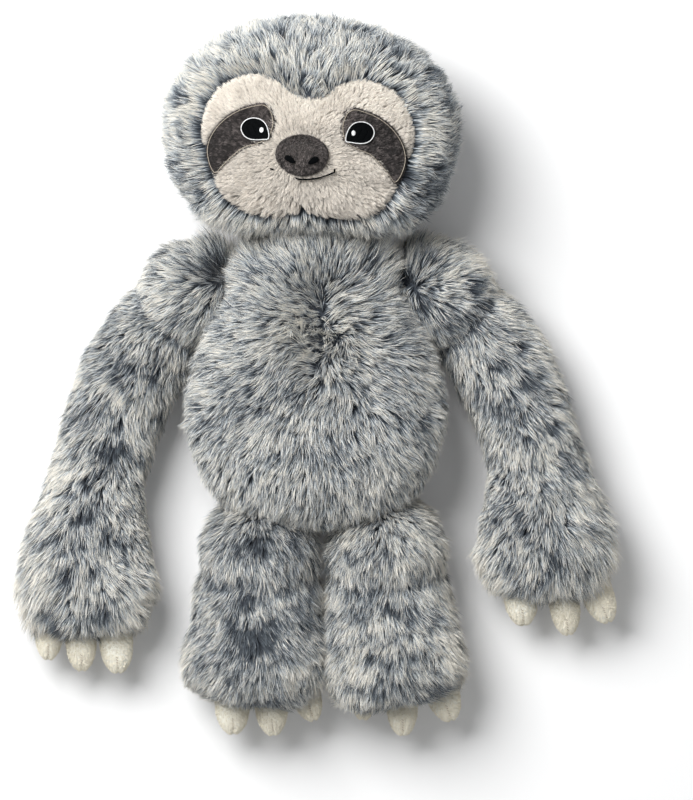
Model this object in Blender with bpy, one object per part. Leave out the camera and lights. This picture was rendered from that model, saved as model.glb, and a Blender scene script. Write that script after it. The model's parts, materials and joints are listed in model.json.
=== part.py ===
"""A plush sloth lying on its back, modelled piece by piece in the way that it is sewn and stuffed.

The frame is the table that it lies on: +Z points up out of its belly, +Y towards its head, and the
origin is the middle of the patch of its back that rests. Left and right are the toy's own, so its
left side is +X. Each plush cover is a shell, its stuffing is a solid inside it, and every limb and
the head turn in a round seat, where a ring of thread sews them on.
Run it with: blender --background --python part.py
"""

import math

import bmesh
import bpy
from mathutils import Matrix, Vector
from mathutils.bvhtree import BVHTree

MM = 0.001

# Cloth, thread and clearances
PLUSH_THICKNESS = 5.0 * MM
SHORT_PILE_THICKNESS = 1.6 * MM
THREAD_RADIUS = 0.4 * MM
EMBROIDERY_THICKNESS = 1.0 * MM
FIT_GAP = 0.3 * MM
SEAM_GAP = 2 * (THREAD_RADIUS + FIT_GAP)
REST_FLAT_DEPTH = 0.5 * MM
CUT_OVERRUN = 40.0 * MM

# Torso: a stuffed bag, widest at the belly, with a round neck
TORSO_LENGTH = 152.0 * MM
TORSO_WIDTH = 139.0 * MM
TORSO_DEPTH = 85.0 * MM
TORSO_BOTTOM_ROUND = 25.0 * MM
TORSO_TOP_ROUND = 14.0 * MM
TORSO_BOTTOM_POWER = 2.5
TORSO_TOP_POWER = 2.5
# Each row is a place along the torso from its bottom, then its width and its depth there
TORSO_PROFILE_SHARES = (
    (0.00, 0.77, 0.72),
    (0.13, 0.83, 0.86),
    (0.27, 0.93, 0.97),
    (0.42, 1.00, 1.00),
    (0.55, 0.935, 1.00),
    (0.68, 0.84, 0.94),
    (0.80, 0.72, 0.86),
    (0.95, 0.54, 0.72),
    (1.00, 0.46, 0.62),
)
TORSO_HEIGHT = TORSO_DEPTH / 2 - REST_FLAT_DEPTH

# Neck: the torso's round top, which sits in a round seat under the head
NECK_RADIUS = 36.0 * MM
NECK_BELOW_TOP = 18.0 * MM
NECK_FORWARD = 2.0 * MM
NECK_SEAM_ANGLE = math.radians(30)
NECK_Y = TORSO_LENGTH / 2 - NECK_BELOW_TOP
NECK_HEIGHT = TORSO_HEIGHT + NECK_FORWARD

# Head: an oval that is squarer at the jowls, with a low muzzle
HEAD_WIDTH = 158.0 * MM
HEAD_LENGTH = 116.0 * MM
HEAD_DEPTH = 104.0 * MM
HEAD_X = -2.6 * MM
HEAD_SINK = 15.0 * MM
HEAD_TILT = math.radians(-3)
HEAD_ROUND_POWER = 2.15
JOWL_POWER = 3.1
MUZZLE_DEPTH = 11.0 * MM
MUZZLE_HALF_WIDTH = 30.0 * MM
MUZZLE_HALF_LENGTH = 21.0 * MM
HEAD_Y = NECK_Y + NECK_RADIUS - HEAD_SINK + HEAD_LENGTH / 2

# Face: a short-pile panel set into the head, placed about the middle of the face
FACE_SIZE_SHARES = (0.361, 0.319)
FACE_PLACE_SHARES = (-0.005, -0.123)
FACE_HALF_WIDTH = FACE_SIZE_SHARES[0] * HEAD_WIDTH
FACE_HALF_LENGTH = FACE_SIZE_SHARES[1] * HEAD_LENGTH
FACE_X = FACE_PLACE_SHARES[0] * HEAD_WIDTH
FACE_Y = FACE_PLACE_SHARES[1] * HEAD_LENGTH
# The right half of the panel's outline, from the notch in the brow to the cleft in the chin
FACE_OUTLINE_SHARES = (
    (0.00, 0.80),
    (0.17, 0.89),
    (0.26, 1.00),
    (0.42, 1.10),
    (0.58, 1.11),
    (0.75, 1.00),
    (0.88, 0.80),
    (0.97, 0.51),
    (1.00, 0.25),
    (0.97, 0.02),
    (0.89, -0.29),
    (0.84, -0.47),
    (0.74, -0.69),
    (0.58, -0.84),
    (0.30, -0.91),
    (0.11, -0.87),
    (0.00, -0.82),
)
# One dark patch, from its inner top corner round by the brow to the tip on the cheek
EYE_PATCH_OUTLINE_SHARES = (
    (0.33, 0.57),
    (0.37, 0.64),
    (0.44, 0.66),
    (0.63, 0.57),
    (0.79, 0.40),
    (0.90, 0.17),
    (0.935, -0.06),
    (0.90, -0.29),
    (0.845, -0.40),
    (0.79, -0.31),
    (0.70, -0.16),
    (0.58, 0.00),
    (0.43, 0.08),
    (0.33, 0.20),
    (0.30, 0.40),
)
EYE_WIDTH = 14.6 * MM
EYE_LENGTH = 11.0 * MM
EYE_PLACE_SHARES = (0.486, 0.316)
EYE_OUTLINE_WIDTH = 0.8 * MM
EYE_POINTS = 16
EYE_CORNER_SHARE = 0.22
EYE_CORNER_ANGLE = math.radians(225)
EYE_GLINT_RADIUS = 1.5 * MM
EYE_GLINT_INWARDS = 3.6 * MM
EYE_GLINT_POINTS = 12
EYE_X = EYE_PLACE_SHARES[0] * FACE_HALF_WIDTH
EYE_Y = EYE_PLACE_SHARES[1] * FACE_HALF_LENGTH
NOSE_WIDTH = 27.7 * MM
NOSE_LENGTH = 21.7 * MM
NOSE_DEPTH = 16.0 * MM
NOSE_X = -3.4 * MM
NOSE_Y = -1.4 * MM
NOSE_SINK_SHARE = 0.12
NOSTRIL_WIDTH = 5.6 * MM
NOSTRIL_LENGTH = 3.4 * MM
NOSTRIL_APART = 11.6 * MM
NOSTRIL_BELOW = 2.6 * MM
NOSTRIL_LEAN = math.radians(28)
NOSTRIL_POINTS = 12
MOUTH_X = -2.4 * MM
MOUTH_HALF_WIDTH = 16.8 * MM
MOUTH_CORNER_Y = -9.2 * MM
MOUTH_DROP = 4.9 * MM
MOUTH_THREAD_RADIUS = 0.5 * MM
MOUTH_POINTS = 11

# Arms: long socks with a round shoulder, which widen into a cuff
SHOULDER_RADIUS = 28.5 * MM
SHOULDER_TUCK = 29.5 * MM
SHOULDER_BELOW_TOP = 27.5 * MM
SHOULDER_SEAM_ANGLE = math.radians(28)
SHOULDER_OPENING_RADIUS = 11.0 * MM
ARM_WIDTH = 51.0 * MM
ARM_DEPTH = 47.0 * MM
ARM_OUTWARDS = 56.5 * MM
RIGHT_ARM_DROP = 183.0 * MM
LEFT_ARM_DROP = 163.0 * MM
# The elbow pulls the arm's middle line this far outwards and down
ARM_ELBOW_SHARES = (1.03, 0.26)
ARM_PROFILE_SHARES = (
    (0.00, 0.86, 0.90),
    (0.18, 0.96, 0.98),
    (0.34, 1.06, 1.00),
    (0.50, 1.01, 1.00),
    (0.64, 1.01, 1.02),
    (0.76, 1.22, 1.08),
    (0.88, 1.44, 1.14),
    (1.00, 1.36, 1.06),
)
ARM_START_ROUND = 12.0 * MM
HAND_ROUND = 15.0 * MM
LIMB_ROUND_POWER = 2.4
SHOULDER_X = TORSO_WIDTH / 2 + ARM_WIDTH / 2 - SHOULDER_TUCK
SHOULDER_Y = TORSO_LENGTH / 2 - SHOULDER_BELOW_TOP

# Legs: short socks with a round hip, which widen into a foot
HIP_MIDDLE_X = 3.6 * MM
HIP_RADIUS = 31.5 * MM
HIP_SINK = 20.0 * MM
HIP_SEAM_ANGLE = math.radians(30)
HIP_OPENING_RADIUS = 12.0 * MM
LEG_WIDTH = 65.0 * MM
LEG_DEPTH = 56.0 * MM
RIGHT_LEG_OUTWARDS = 5.2 * MM
LEFT_LEG_OUTWARDS = 8.0 * MM
LEG_DROP = 82.0 * MM
LEG_BEND_SHARES = (0.10, 0.50)
LEG_PROFILE_SHARES = (
    (0.00, 0.86, 0.94),
    (0.22, 1.00, 1.00),
    (0.45, 1.05, 1.02),
    (0.75, 1.16, 1.06),
    (1.00, 1.16, 1.02),
)
LEG_START_ROUND = 12.0 * MM
FOOT_ROUND = 16.0 * MM
FEET_APART = 0.3 * MM
# The feet are widest where the legs have bent outwards by this share
FEET_BEND_SHARE = 0.66
FOOT_WIDTH = LEG_WIDTH * LEG_PROFILE_SHARES[-1][1]
FEET_BEND = FEET_BEND_SHARE * (RIGHT_LEG_OUTWARDS + LEFT_LEG_OUTWARDS)
HIP_APART = max(FOOT_WIDTH - FEET_BEND + FEET_APART, 2 * HIP_RADIUS + SEAM_GAP)
HIP_Y = HIP_SINK - HIP_RADIUS - TORSO_LENGTH / 2

# Claws: small stuffed pouches, sewn with a seam along the middle
CLAW_WIDTH = 16.0 * MM
CLAW_LENGTH = 32.0 * MM
CLAW_DEPTH = 14.0 * MM
CLAW_TAPER_SHARE = 0.20
CLAW_SEAM_DEPTH_SHARE = 0.16
CLAW_SEAM_WIDTH_SHARE = 0.30
HAND_CLAW_HEIGHT = 22.0 * MM
FOOT_CLAW_HEIGHT = 24.0 * MM
# Each row is one claw: how far across from the middle of the cuff, in claw widths, how far its tip
# reaches past the cuff, in claw lengths, and how far it leans, in degrees
RIGHT_HAND_CLAW_SHARES = ((-1.24, 0.36, -2), (-0.18, 0.54, 2), (0.99, 0.58, 4))
LEFT_HAND_CLAW_SHARES = ((-0.84, 0.42, 6), (0.62, 0.58, 8), (1.72, 0.40, 22))
RIGHT_FOOT_CLAW_SHARES = ((-0.59, 0.50, 2), (0.70, 0.52, 4), (1.82, 0.30, 18))
LEFT_FOOT_CLAW_SHARES = ((-1.20, 0.26, -4), (0.03, 0.52, 2), (1.36, 0.30, 18))

# Faces round and along each form
TORSO_SIDES, TORSO_RINGS = 20, 12
HEAD_SIDES, HEAD_RINGS = 22, 13
LIMB_SIDES, LIMB_RINGS = 14, 10
BALL_SIDES, BALL_RINGS = 14, 8
CLAW_SIDES, CLAW_RINGS = 10, 7
NOSE_SIDES, NOSE_RINGS = 16, 8
RING_SIDES, RING_TUBE_SIDES = 14, 4

# Colour, roughness and metallic value of each material
FINISHES = {
    "grey_plush": ((0.42, 0.46, 0.50), 0.95, 0.0),
    "cream_plush": ((0.76, 0.68, 0.61), 0.92, 0.0),
    "dark_plush": ((0.12, 0.11, 0.11), 0.92, 0.0),
    "nose_plush": ((0.10, 0.09, 0.09), 0.88, 0.0),
    "claw_plush": ((0.78, 0.73, 0.63), 0.90, 0.0),
    "stuffing": ((0.88, 0.88, 0.86), 1.00, 0.0),
    "black_thread": ((0.012, 0.014, 0.018), 0.55, 0.0),
    "white_thread": ((0.90, 0.91, 0.92), 0.60, 0.0),
    "grey_thread": ((0.30, 0.32, 0.35), 0.70, 0.0),
}


# Scene

def clear_scene():
    for old in list(bpy.data.objects):
        bpy.data.objects.remove(old, do_unlink=True)


def collection(name):
    made = bpy.data.collections.new(name)
    bpy.context.scene.collection.children.link(made)
    return made


def material(name):
    if name in bpy.data.materials:
        return bpy.data.materials[name]
    colour, roughness, metallic = FINISHES[name]
    made = bpy.data.materials.new(name)
    made.use_nodes = True
    shader = made.node_tree.nodes["Principled BSDF"]
    shader.inputs["Base Color"].default_value = (*colour, 1.0)
    shader.inputs["Roughness"].default_value = roughness
    shader.inputs["Metallic"].default_value = metallic
    made.diffuse_color = (*colour, 1.0)
    return made


def object_from(shape, name):
    """A workshop object that holds this bmesh, with its faces pointing out. It isn't a part yet."""
    bmesh.ops.recalc_face_normals(shape, faces=shape.faces)
    mesh = bpy.data.meshes.new(name)
    shape.to_mesh(mesh)
    shape.free()
    made = bpy.data.objects.new(name, mesh)
    bpy.data.collections["workshop"].objects.link(made)
    made.hide_render = True
    made.display_type = "WIRE"
    return made


def copied(source, name):
    made = bpy.data.objects.new(name, source.data.copy())
    bpy.data.collections["workshop"].objects.link(made)
    made.hide_render = True
    return made


def carve(target, cutter, operation="DIFFERENCE"):
    """Cuts, joins or intersects the target's mesh with the cutter, both in the toy's frame."""
    boolean = target.modifiers.new("carve", "BOOLEAN")
    boolean.operation = operation
    boolean.object = cutter
    graph = bpy.context.evaluated_depsgraph_get()
    carved = bpy.data.meshes.new_from_object(target.evaluated_get(graph))
    target.modifiers.clear()
    target.data = carved
    return target


def finish_part(made, name, finish, joint):
    """Makes a workshop object a part, with its origin on the joint that moves it."""
    made.name = name
    made.data.name = name
    made.data.materials.clear()
    made.data.materials.append(material(finish))
    made.data.transform(Matrix.Translation(-joint.location))
    bpy.data.collections["workshop"].objects.unlink(made)
    bpy.data.collections["plush_sloth"].objects.link(made)
    made.parent = joint
    made.hide_render = False
    made.display_type = "TEXTURED"
    made.data.shade_smooth()
    made.data.set_sharp_from_angle(angle=math.radians(40))
    return made


def joint_empty(name, place):
    made = bpy.data.objects.new(name, None)
    made.location = place
    bpy.data.collections["plush_sloth"].objects.link(made)
    return made


# Basic shapes

def split_quads(shape):
    """Splits every quad along the same diagonal, so that the layers of one form stay parallel."""
    bmesh.ops.triangulate(shape, faces=shape.faces, quad_method="FIXED")


def ball(radius, centre, sides=BALL_SIDES, rings=BALL_RINGS, name="ball"):
    shape = bmesh.new()
    bmesh.ops.create_uvsphere(shape, u_segments=sides, v_segments=rings, radius=radius)
    bmesh.ops.translate(shape, verts=shape.verts, vec=centre)
    return object_from(shape, name)


def seat_cutter(radius, centre):
    """A ball whose flats, and not its corners, stand at the radius, so that the seat clears a ball of it."""
    corner_share = 1 / (math.cos(math.pi / BALL_SIDES) * math.cos(math.pi / (2 * BALL_RINGS)))
    return ball(radius * corner_share, centre, name="seat")


def block(low, high, name="block"):
    shape = bmesh.new()
    bmesh.ops.create_cube(shape, size=1.0)
    size = Vector(high) - Vector(low)
    bmesh.ops.scale(shape, verts=shape.verts, vec=size)
    bmesh.ops.translate(shape, verts=shape.verts, vec=(Vector(low) + Vector(high)) / 2)
    return object_from(shape, name)


def prism(outline, low, high, name="prism"):
    """A straight wall round a flat outline, from one height to another."""
    shape = bmesh.new()
    floor = shape.faces.new([shape.verts.new((x, y, low)) for x, y in outline])
    raised = bmesh.ops.extrude_face_region(shape, geom=[floor])["geom"]
    corners = [part for part in raised if isinstance(part, bmesh.types.BMVert)]
    bmesh.ops.translate(shape, verts=corners, vec=(0, 0, high - low))
    return object_from(shape, name)


def aimed_along(axis):
    """The turn that takes +Z to an axis."""
    return Vector((0, 0, 1)).rotation_difference(axis).to_matrix()


def cylinder(radius, length, centre, axis, name):
    shape = bmesh.new()
    bmesh.ops.create_cone(
        shape, cap_ends=True, segments=BALL_SIDES, radius1=radius, radius2=radius, depth=length,
    )
    bmesh.ops.rotate(shape, verts=shape.verts, matrix=aimed_along(axis))
    bmesh.ops.translate(shape, verts=shape.verts, vec=centre)
    return object_from(shape, name)


def thread_ring(radius, centre, axis, name):
    """A ring of sewing thread round an axis."""
    bpy.ops.mesh.primitive_torus_add(
        major_segments=RING_SIDES, minor_segments=RING_TUBE_SIDES,
        major_radius=radius, minor_radius=THREAD_RADIUS,
    )
    torus = bpy.context.object
    shape = bmesh.new()
    shape.from_mesh(torus.data)
    bpy.data.objects.remove(torus)
    bmesh.ops.rotate(shape, verts=shape.verts, matrix=aimed_along(axis))
    bmesh.ops.translate(shape, verts=shape.verts, vec=centre)
    return object_from(shape, name)


# Stuffed bags: ovals strung along a middle line

def profile_at(rows, along):
    """The width share and depth share of a profile at a place along it, smoothly between its rows."""
    last = len(rows) - 1
    after = next((k for k in range(1, last) if rows[k][0] >= along), last)
    before = after - 1
    span = rows[after][0] - rows[before][0]
    t = (along - rows[before][0]) / span
    values = []
    for column in (1, 2):
        start, end = rows[before][column], rows[after][column]
        earlier, later = rows[max(before - 1, 0)], rows[min(after + 1, last)]
        start_slope = (end - earlier[column]) / (rows[after][0] - earlier[0]) * span
        end_slope = (later[column] - start) / (later[0] - rows[before][0]) * span
        values.append(
            start * (2 * t**3 - 3 * t**2 + 1) + start_slope * (t**3 - 2 * t**2 + t)
            + end * (3 * t**2 - 2 * t**3) + end_slope * (t**3 - t**2)
        )
    return values


def rounding(distance, reach, power):
    """The share of its width that a bag keeps at a distance from a closed end that is round for a reach."""
    if distance >= reach:
        return 1.0
    return max(1 - (1 - distance / reach) ** power, 0) ** (1 / power)


def bag(section_at, sides, rings, name):
    """A sphere whose rings are moved along a bag: section_at gives each ring's centre, side and halves."""
    shape = bmesh.new()
    bmesh.ops.create_uvsphere(shape, u_segments=sides, v_segments=rings, radius=1.0)
    for vert in shape.verts:
        around = vert.co.xy.normalized()
        centre, side, half_width, half_depth = section_at((1 - vert.co.z) / 2)
        vert.co = centre + side * (half_width * around.x) + Vector((0, 0, half_depth * around.y))
    split_quads(shape)
    return object_from(shape, name)


def torso_bag(inset, name="torso_bag"):
    """The torso's outer form, or the form that lies inset below its skin, with its round neck."""
    length = TORSO_LENGTH - 2 * inset

    def section_at(along):
        width_share, depth_share = profile_at(TORSO_PROFILE_SHARES, along)
        bottom = rounding(along * length, TORSO_BOTTOM_ROUND, TORSO_BOTTOM_POWER)
        top = rounding((1 - along) * length, TORSO_TOP_ROUND, TORSO_TOP_POWER)
        half_width = (TORSO_WIDTH / 2 * width_share - inset) * bottom * top
        half_depth = (TORSO_DEPTH / 2 * depth_share - inset) * bottom * top
        centre = Vector((0, (along - 0.5) * length, TORSO_HEIGHT))
        return centre, Vector((1, 0, 0)), half_width, half_depth

    made = bag(section_at, TORSO_SIDES, TORSO_RINGS, name)
    return carve(made, ball(NECK_RADIUS - inset, NECK_CENTRE), "UNION")


def limb_bag(limb, inset, name="limb_bag"):
    """A limb's outer form, or the form inset below its skin, with the ball that turns in the torso."""
    joint, end, bend = limb["joint"], limb["end"], limb["bend"]
    length = end.length - inset

    def section_at(along):
        place = 2 * along * (1 - along) * bend + along**2 * end * (length / end.length)
        slope = (1 - 2 * along) * 2 * bend + 2 * along * end
        side = Vector((-slope.y, slope.x, 0)).normalized()
        width_share, depth_share = profile_at(limb["profile"], along)
        start = rounding(along * length, limb["start_round"], LIMB_ROUND_POWER)
        tip = rounding((1 - along) * length, limb["end_round"], LIMB_ROUND_POWER)
        half_width = (limb["width"] / 2 * width_share - inset) * start * tip
        half_depth = (limb["depth"] / 2 * depth_share - inset) * start * tip
        rest_height = limb["depth"] / 2 * depth_share - REST_FLAT_DEPTH
        centre = Vector((joint.x + place.x, joint.y + place.y, rest_height))
        return centre, side, half_width, half_depth

    made = bag(section_at, LIMB_SIDES, LIMB_RINGS, name)
    return carve(made, ball(limb["radius"] - inset, joint), "UNION")


# The places of the joints
NECK_CENTRE = Vector((0, NECK_Y, NECK_HEIGHT))
HEAD_CENTRE = Vector((HEAD_X, HEAD_Y, HEAD_DEPTH / 2 - REST_FLAT_DEPTH))


def arm(side, drop, claws):
    """The sizes of one arm. Side is +1 for the toy's left."""
    end = Vector((side * ARM_OUTWARDS, -drop, 0))
    return {
        "joint": Vector((side * SHOULDER_X, SHOULDER_Y, SHOULDER_RADIUS - REST_FLAT_DEPTH)),
        "radius": SHOULDER_RADIUS,
        "end": end,
        "bend": Vector((end.x * ARM_ELBOW_SHARES[0], end.y * ARM_ELBOW_SHARES[1], 0)),
        "profile": ARM_PROFILE_SHARES,
        "width": ARM_WIDTH,
        "depth": ARM_DEPTH,
        "start_round": ARM_START_ROUND,
        "end_round": HAND_ROUND,
        "seam_axis": Vector((-side, 0, 0)),
        "seam_angle": SHOULDER_SEAM_ANGLE,
        "opening_radius": SHOULDER_OPENING_RADIUS,
        "claws": claws,
        "claw_height": HAND_CLAW_HEIGHT,
    }


def leg(side, outwards, claws):
    """The sizes of one leg. Side is +1 for the toy's left."""
    end = Vector((side * outwards, -LEG_DROP, 0))
    return {
        "joint": Vector((HIP_MIDDLE_X + side * HIP_APART / 2, HIP_Y, HIP_RADIUS - REST_FLAT_DEPTH)),
        "radius": HIP_RADIUS,
        "end": end,
        "bend": Vector((end.x * LEG_BEND_SHARES[0], end.y * LEG_BEND_SHARES[1], 0)),
        "profile": LEG_PROFILE_SHARES,
        "width": LEG_WIDTH,
        "depth": LEG_DEPTH,
        "start_round": LEG_START_ROUND,
        "end_round": FOOT_ROUND,
        "seam_axis": Vector((0, 1, 0)),
        "seam_angle": HIP_SEAM_ANGLE,
        "opening_radius": HIP_OPENING_RADIUS,
        "claws": claws,
        "claw_height": FOOT_CLAW_HEIGHT,
    }


LIMBS = {
    "right_arm": arm(-1, RIGHT_ARM_DROP, RIGHT_HAND_CLAW_SHARES),
    "left_arm": arm(1, LEFT_ARM_DROP, LEFT_HAND_CLAW_SHARES),
    "right_leg": leg(-1, RIGHT_LEG_OUTWARDS, RIGHT_FOOT_CLAW_SHARES),
    "left_leg": leg(1, LEFT_LEG_OUTWARDS, LEFT_FOOT_CLAW_SHARES),
}


# Head: one rounded form at several depths below or above its skin

def smooth_step(value):
    value = min(max(value, 0.0), 1.0)
    return value * value * (3 - 2 * value)


def muzzle_rise(x, y):
    across = (x - NOSE_X) / MUZZLE_HALF_WIDTH
    along = (y - FACE_Y - MOUTH_CORNER_Y) / MUZZLE_HALF_LENGTH
    return MUZZLE_DEPTH * math.exp(-across * across - along * along)


def head_form(inset, name="head_form"):
    """The head's form inset below its skin, or above it where inset is negative, in the toy's frame."""
    shape = bmesh.new()
    bmesh.ops.create_uvsphere(shape, u_segments=HEAD_SIDES, v_segments=HEAD_RINGS, radius=1.0)
    halves = (HEAD_WIDTH / 2, HEAD_LENGTH / 2, HEAD_DEPTH / 2)
    for vert in shape.verts:
        power = HEAD_ROUND_POWER + (JOWL_POWER - HEAD_ROUND_POWER) * smooth_step(-vert.co.y)
        reach = sum(abs(part / half) ** power for part, half in zip(vert.co, halves)) ** (-1 / power)
        place = vert.co * reach
        place.z += muzzle_rise(place.x, place.y) * smooth_step(2 * vert.co.z)
        vert.co = place
    split_quads(shape)
    shape.normal_update()
    normals = [vert.normal.copy() for vert in shape.verts]
    for vert, normal in zip(shape.verts, normals):
        vert.co -= normal * inset
    bmesh.ops.rotate(shape, verts=shape.verts, matrix=Matrix.Rotation(HEAD_TILT, 3, "Z"))
    bmesh.ops.translate(shape, verts=shape.verts, vec=HEAD_CENTRE)
    return object_from(shape, name)


def on_head(x, y):
    """A place on the flat drawing of the face, turned with the head into the toy's frame."""
    place = Matrix.Rotation(HEAD_TILT, 3, "Z") @ Vector((x, y, 0))
    return HEAD_CENTRE.x + place.x, HEAD_CENTRE.y + place.y


def face_outline():
    right = [(x * FACE_HALF_WIDTH, y * FACE_HALF_LENGTH) for x, y in FACE_OUTLINE_SHARES]
    left = [(-x, y) for x, y in reversed(right[1:-1])]
    return right + left


def eye_outline(side, grow):
    """A round eye drawn out to a small corner beside the nose, grown outwards by a width."""
    points = []
    for k in range(EYE_POINTS):
        turn = math.tau * k / EYE_POINTS
        corner = EYE_CORNER_SHARE * max(math.cos(turn - EYE_CORNER_ANGLE), 0) ** 4
        x = (EYE_WIDTH / 2 + grow) * math.cos(turn) * (1 + corner)
        y = (EYE_LENGTH / 2 + grow) * math.sin(turn) * (1 + corner)
        points.append((side * (EYE_X + x), EYE_Y + y))
    return points


def glint_outline(side):
    middle_x = side * (EYE_X - EYE_GLINT_INWARDS)
    turns = [math.tau * k / EYE_GLINT_POINTS for k in range(EYE_GLINT_POINTS)]
    return [
        (middle_x + EYE_GLINT_RADIUS * math.cos(turn), EYE_Y + EYE_GLINT_RADIUS * math.sin(turn))
        for turn in turns
    ]


def nostril_outline(side):
    points = []
    for k in range(NOSTRIL_POINTS):
        turn = math.tau * k / NOSTRIL_POINTS
        spot = Matrix.Rotation(-side * NOSTRIL_LEAN, 2) @ Vector(
            (NOSTRIL_WIDTH / 2 * math.cos(turn), NOSTRIL_LENGTH / 2 * math.sin(turn))
        )
        points.append((NOSE_X + side * NOSTRIL_APART / 2 + spot.x, NOSE_Y - NOSTRIL_BELOW + spot.y))
    return points


def face_prism(outline, low=HEAD_CENTRE.z):
    """A cutter through the front of the head, round an outline drawn about the middle of the face."""
    points = [on_head(FACE_X + x, FACE_Y + y) for x, y in outline]
    return prism(points, low, low + HEAD_DEPTH)


def grown(outline, by):
    """An outline moved outwards by a width along its corners' normals."""
    made = []
    for k, (x, y) in enumerate(outline):
        before, after = outline[k - 1], outline[(k + 1) % len(outline)]
        along = Vector((after[0] - before[0], after[1] - before[1])).normalized()
        made.append((x - along.y * by, y + along.x * by))
    return made


def layer_on_head(outline, bottom, top, name):
    """A thin layer on the head's front, from one height above its skin to another, inside an outline."""
    made = head_form(-top, name)
    carve(made, head_form(-bottom))
    return carve(made, face_prism(outline), "INTERSECT")


def build_head(joint):
    outer = head_form(0)
    inner = head_form(PLUSH_THICKNESS)
    outline = face_outline()
    seat = seat_cutter(NECK_RADIUS + SEAM_GAP, NECK_CENTRE)
    floor = floor_block()

    cover = copied(outer, "cover")
    carve(cover, inner)
    carve(cover, face_prism(grown(outline, FIT_GAP)))
    carve(cover, seat)
    finish_part(carve(cover, floor), "head_cover", "grey_plush", joint)

    panel = copied(outer, "panel")
    carve(panel, inner)
    finish_part(carve(panel, face_prism(outline), "INTERSECT"), "face_panel", "cream_plush", joint)

    stuffing = carve(head_form(PLUSH_THICKNESS + FIT_GAP), seat)
    finish_part(stuffing, "head_stuffing", "stuffing", joint)

    patch_top = FIT_GAP + SHORT_PILE_THICKNESS
    eye_bottom = patch_top + FIT_GAP
    eye_top = eye_bottom + EMBROIDERY_THICKNESS
    for side, word in ((-1, "right"), (1, "left")):
        drawn = [(side * x * FACE_HALF_WIDTH, y * FACE_HALF_LENGTH) for x, y in EYE_PATCH_OUTLINE_SHARES]
        patch = layer_on_head(drawn, FIT_GAP, patch_top, "patch")
        finish_part(patch, f"{word}_eye_patch", "dark_plush", joint)

        eye = layer_on_head(eye_outline(side, 0), eye_bottom, eye_top, "eye")
        finish_part(eye, f"{word}_eye", "black_thread", joint)

        rim = layer_on_head(eye_outline(side, FIT_GAP + EYE_OUTLINE_WIDTH), eye_bottom, eye_top, "rim")
        carve(rim, face_prism(eye_outline(side, FIT_GAP)))
        finish_part(rim, f"{word}_eye_outline", "white_thread", joint)

        glint_bottom = eye_top + FIT_GAP
        glint_top = glint_bottom + EMBROIDERY_THICKNESS
        glint = layer_on_head(glint_outline(side), glint_bottom, glint_top, "glint")
        finish_part(glint, f"{word}_eye_glint", "white_thread", joint)

    build_nose(joint)
    build_mouth(joint)


def height_of(surface, x, y):
    """How high the front of a form is at a place on the drawing of the face."""
    graph = bpy.context.evaluated_depsgraph_get()
    tree = BVHTree.FromObject(surface, graph)
    above = Vector((*on_head(FACE_X + x, FACE_Y + y), HEAD_CENTRE.z + 2 * HEAD_DEPTH))
    return tree.ray_cast(above, Vector((0, 0, -1)))[0].z


def nose_form(grow, height):
    shape = bmesh.new()
    bmesh.ops.create_uvsphere(shape, u_segments=NOSE_SIDES, v_segments=NOSE_RINGS, radius=1.0)
    halves = Vector((NOSE_WIDTH / 2 + grow, NOSE_LENGTH / 2 + grow, NOSE_DEPTH / 2 + grow))
    bmesh.ops.scale(shape, verts=shape.verts, vec=halves)
    bmesh.ops.rotate(shape, verts=shape.verts, matrix=Matrix.Rotation(HEAD_TILT, 3, "Z"))
    x, y = on_head(FACE_X + NOSE_X, FACE_Y + NOSE_Y)
    bmesh.ops.translate(shape, verts=shape.verts, vec=(x, y, height - NOSE_SINK_SHARE * NOSE_DEPTH))
    return object_from(shape, "nose_form")


def build_nose(joint):
    height = height_of(head_form(0), NOSE_X, NOSE_Y)
    nose = carve(nose_form(0, height), head_form(-FIT_GAP))
    finish_part(nose, "nose", "nose_plush", joint)
    for side, word in ((-1, "right"), (1, "left")):
        nostril = nose_form(FIT_GAP + EMBROIDERY_THICKNESS, height)
        carve(nostril, nose_form(FIT_GAP, height))
        carve(nostril, face_prism(nostril_outline(side), height), "INTERSECT")
        finish_part(nostril, f"{word}_nostril", "black_thread", joint)


def build_mouth(joint):
    """A smile in one line of black thread that lies on the muzzle."""
    surface = head_form(0)
    lift = FIT_GAP + MOUTH_THREAD_RADIUS
    drawing = bpy.data.curves.new("mouth_line", "CURVE")
    drawing.dimensions = "3D"
    drawing.bevel_depth = MOUTH_THREAD_RADIUS
    drawing.bevel_resolution = 1
    drawing.use_fill_caps = True
    line = drawing.splines.new("POLY")
    line.points.add(MOUTH_POINTS - 1)
    for k, point in enumerate(line.points):
        share = 2 * k / (MOUTH_POINTS - 1) - 1
        x = MOUTH_X + share * MOUTH_HALF_WIDTH
        y = MOUTH_CORNER_Y - MOUTH_DROP * (1 - share * share)
        place = on_head(FACE_X + x, FACE_Y + y)
        point.co = (*place, height_of(surface, x, y) + lift, 1.0)
    thread = bpy.data.objects.new("mouth_line", drawing)
    bpy.data.collections["workshop"].objects.link(thread)
    graph = bpy.context.evaluated_depsgraph_get()
    mesh = bpy.data.meshes.new_from_object(thread.evaluated_get(graph))
    shape = bmesh.new()
    shape.from_mesh(mesh)
    bmesh.ops.remove_doubles(shape, verts=shape.verts, dist=THREAD_RADIUS / 100)
    bpy.data.objects.remove(thread)
    finish_part(object_from(shape, "mouth"), "mouth_stitching", "black_thread", joint)


# Torso

def floor_block():
    reach = TORSO_LENGTH + HEAD_LENGTH + LEG_DROP + CUT_OVERRUN
    return block((-reach, -reach, -CUT_OVERRUN), (reach, reach, 0), "floor")


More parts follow.
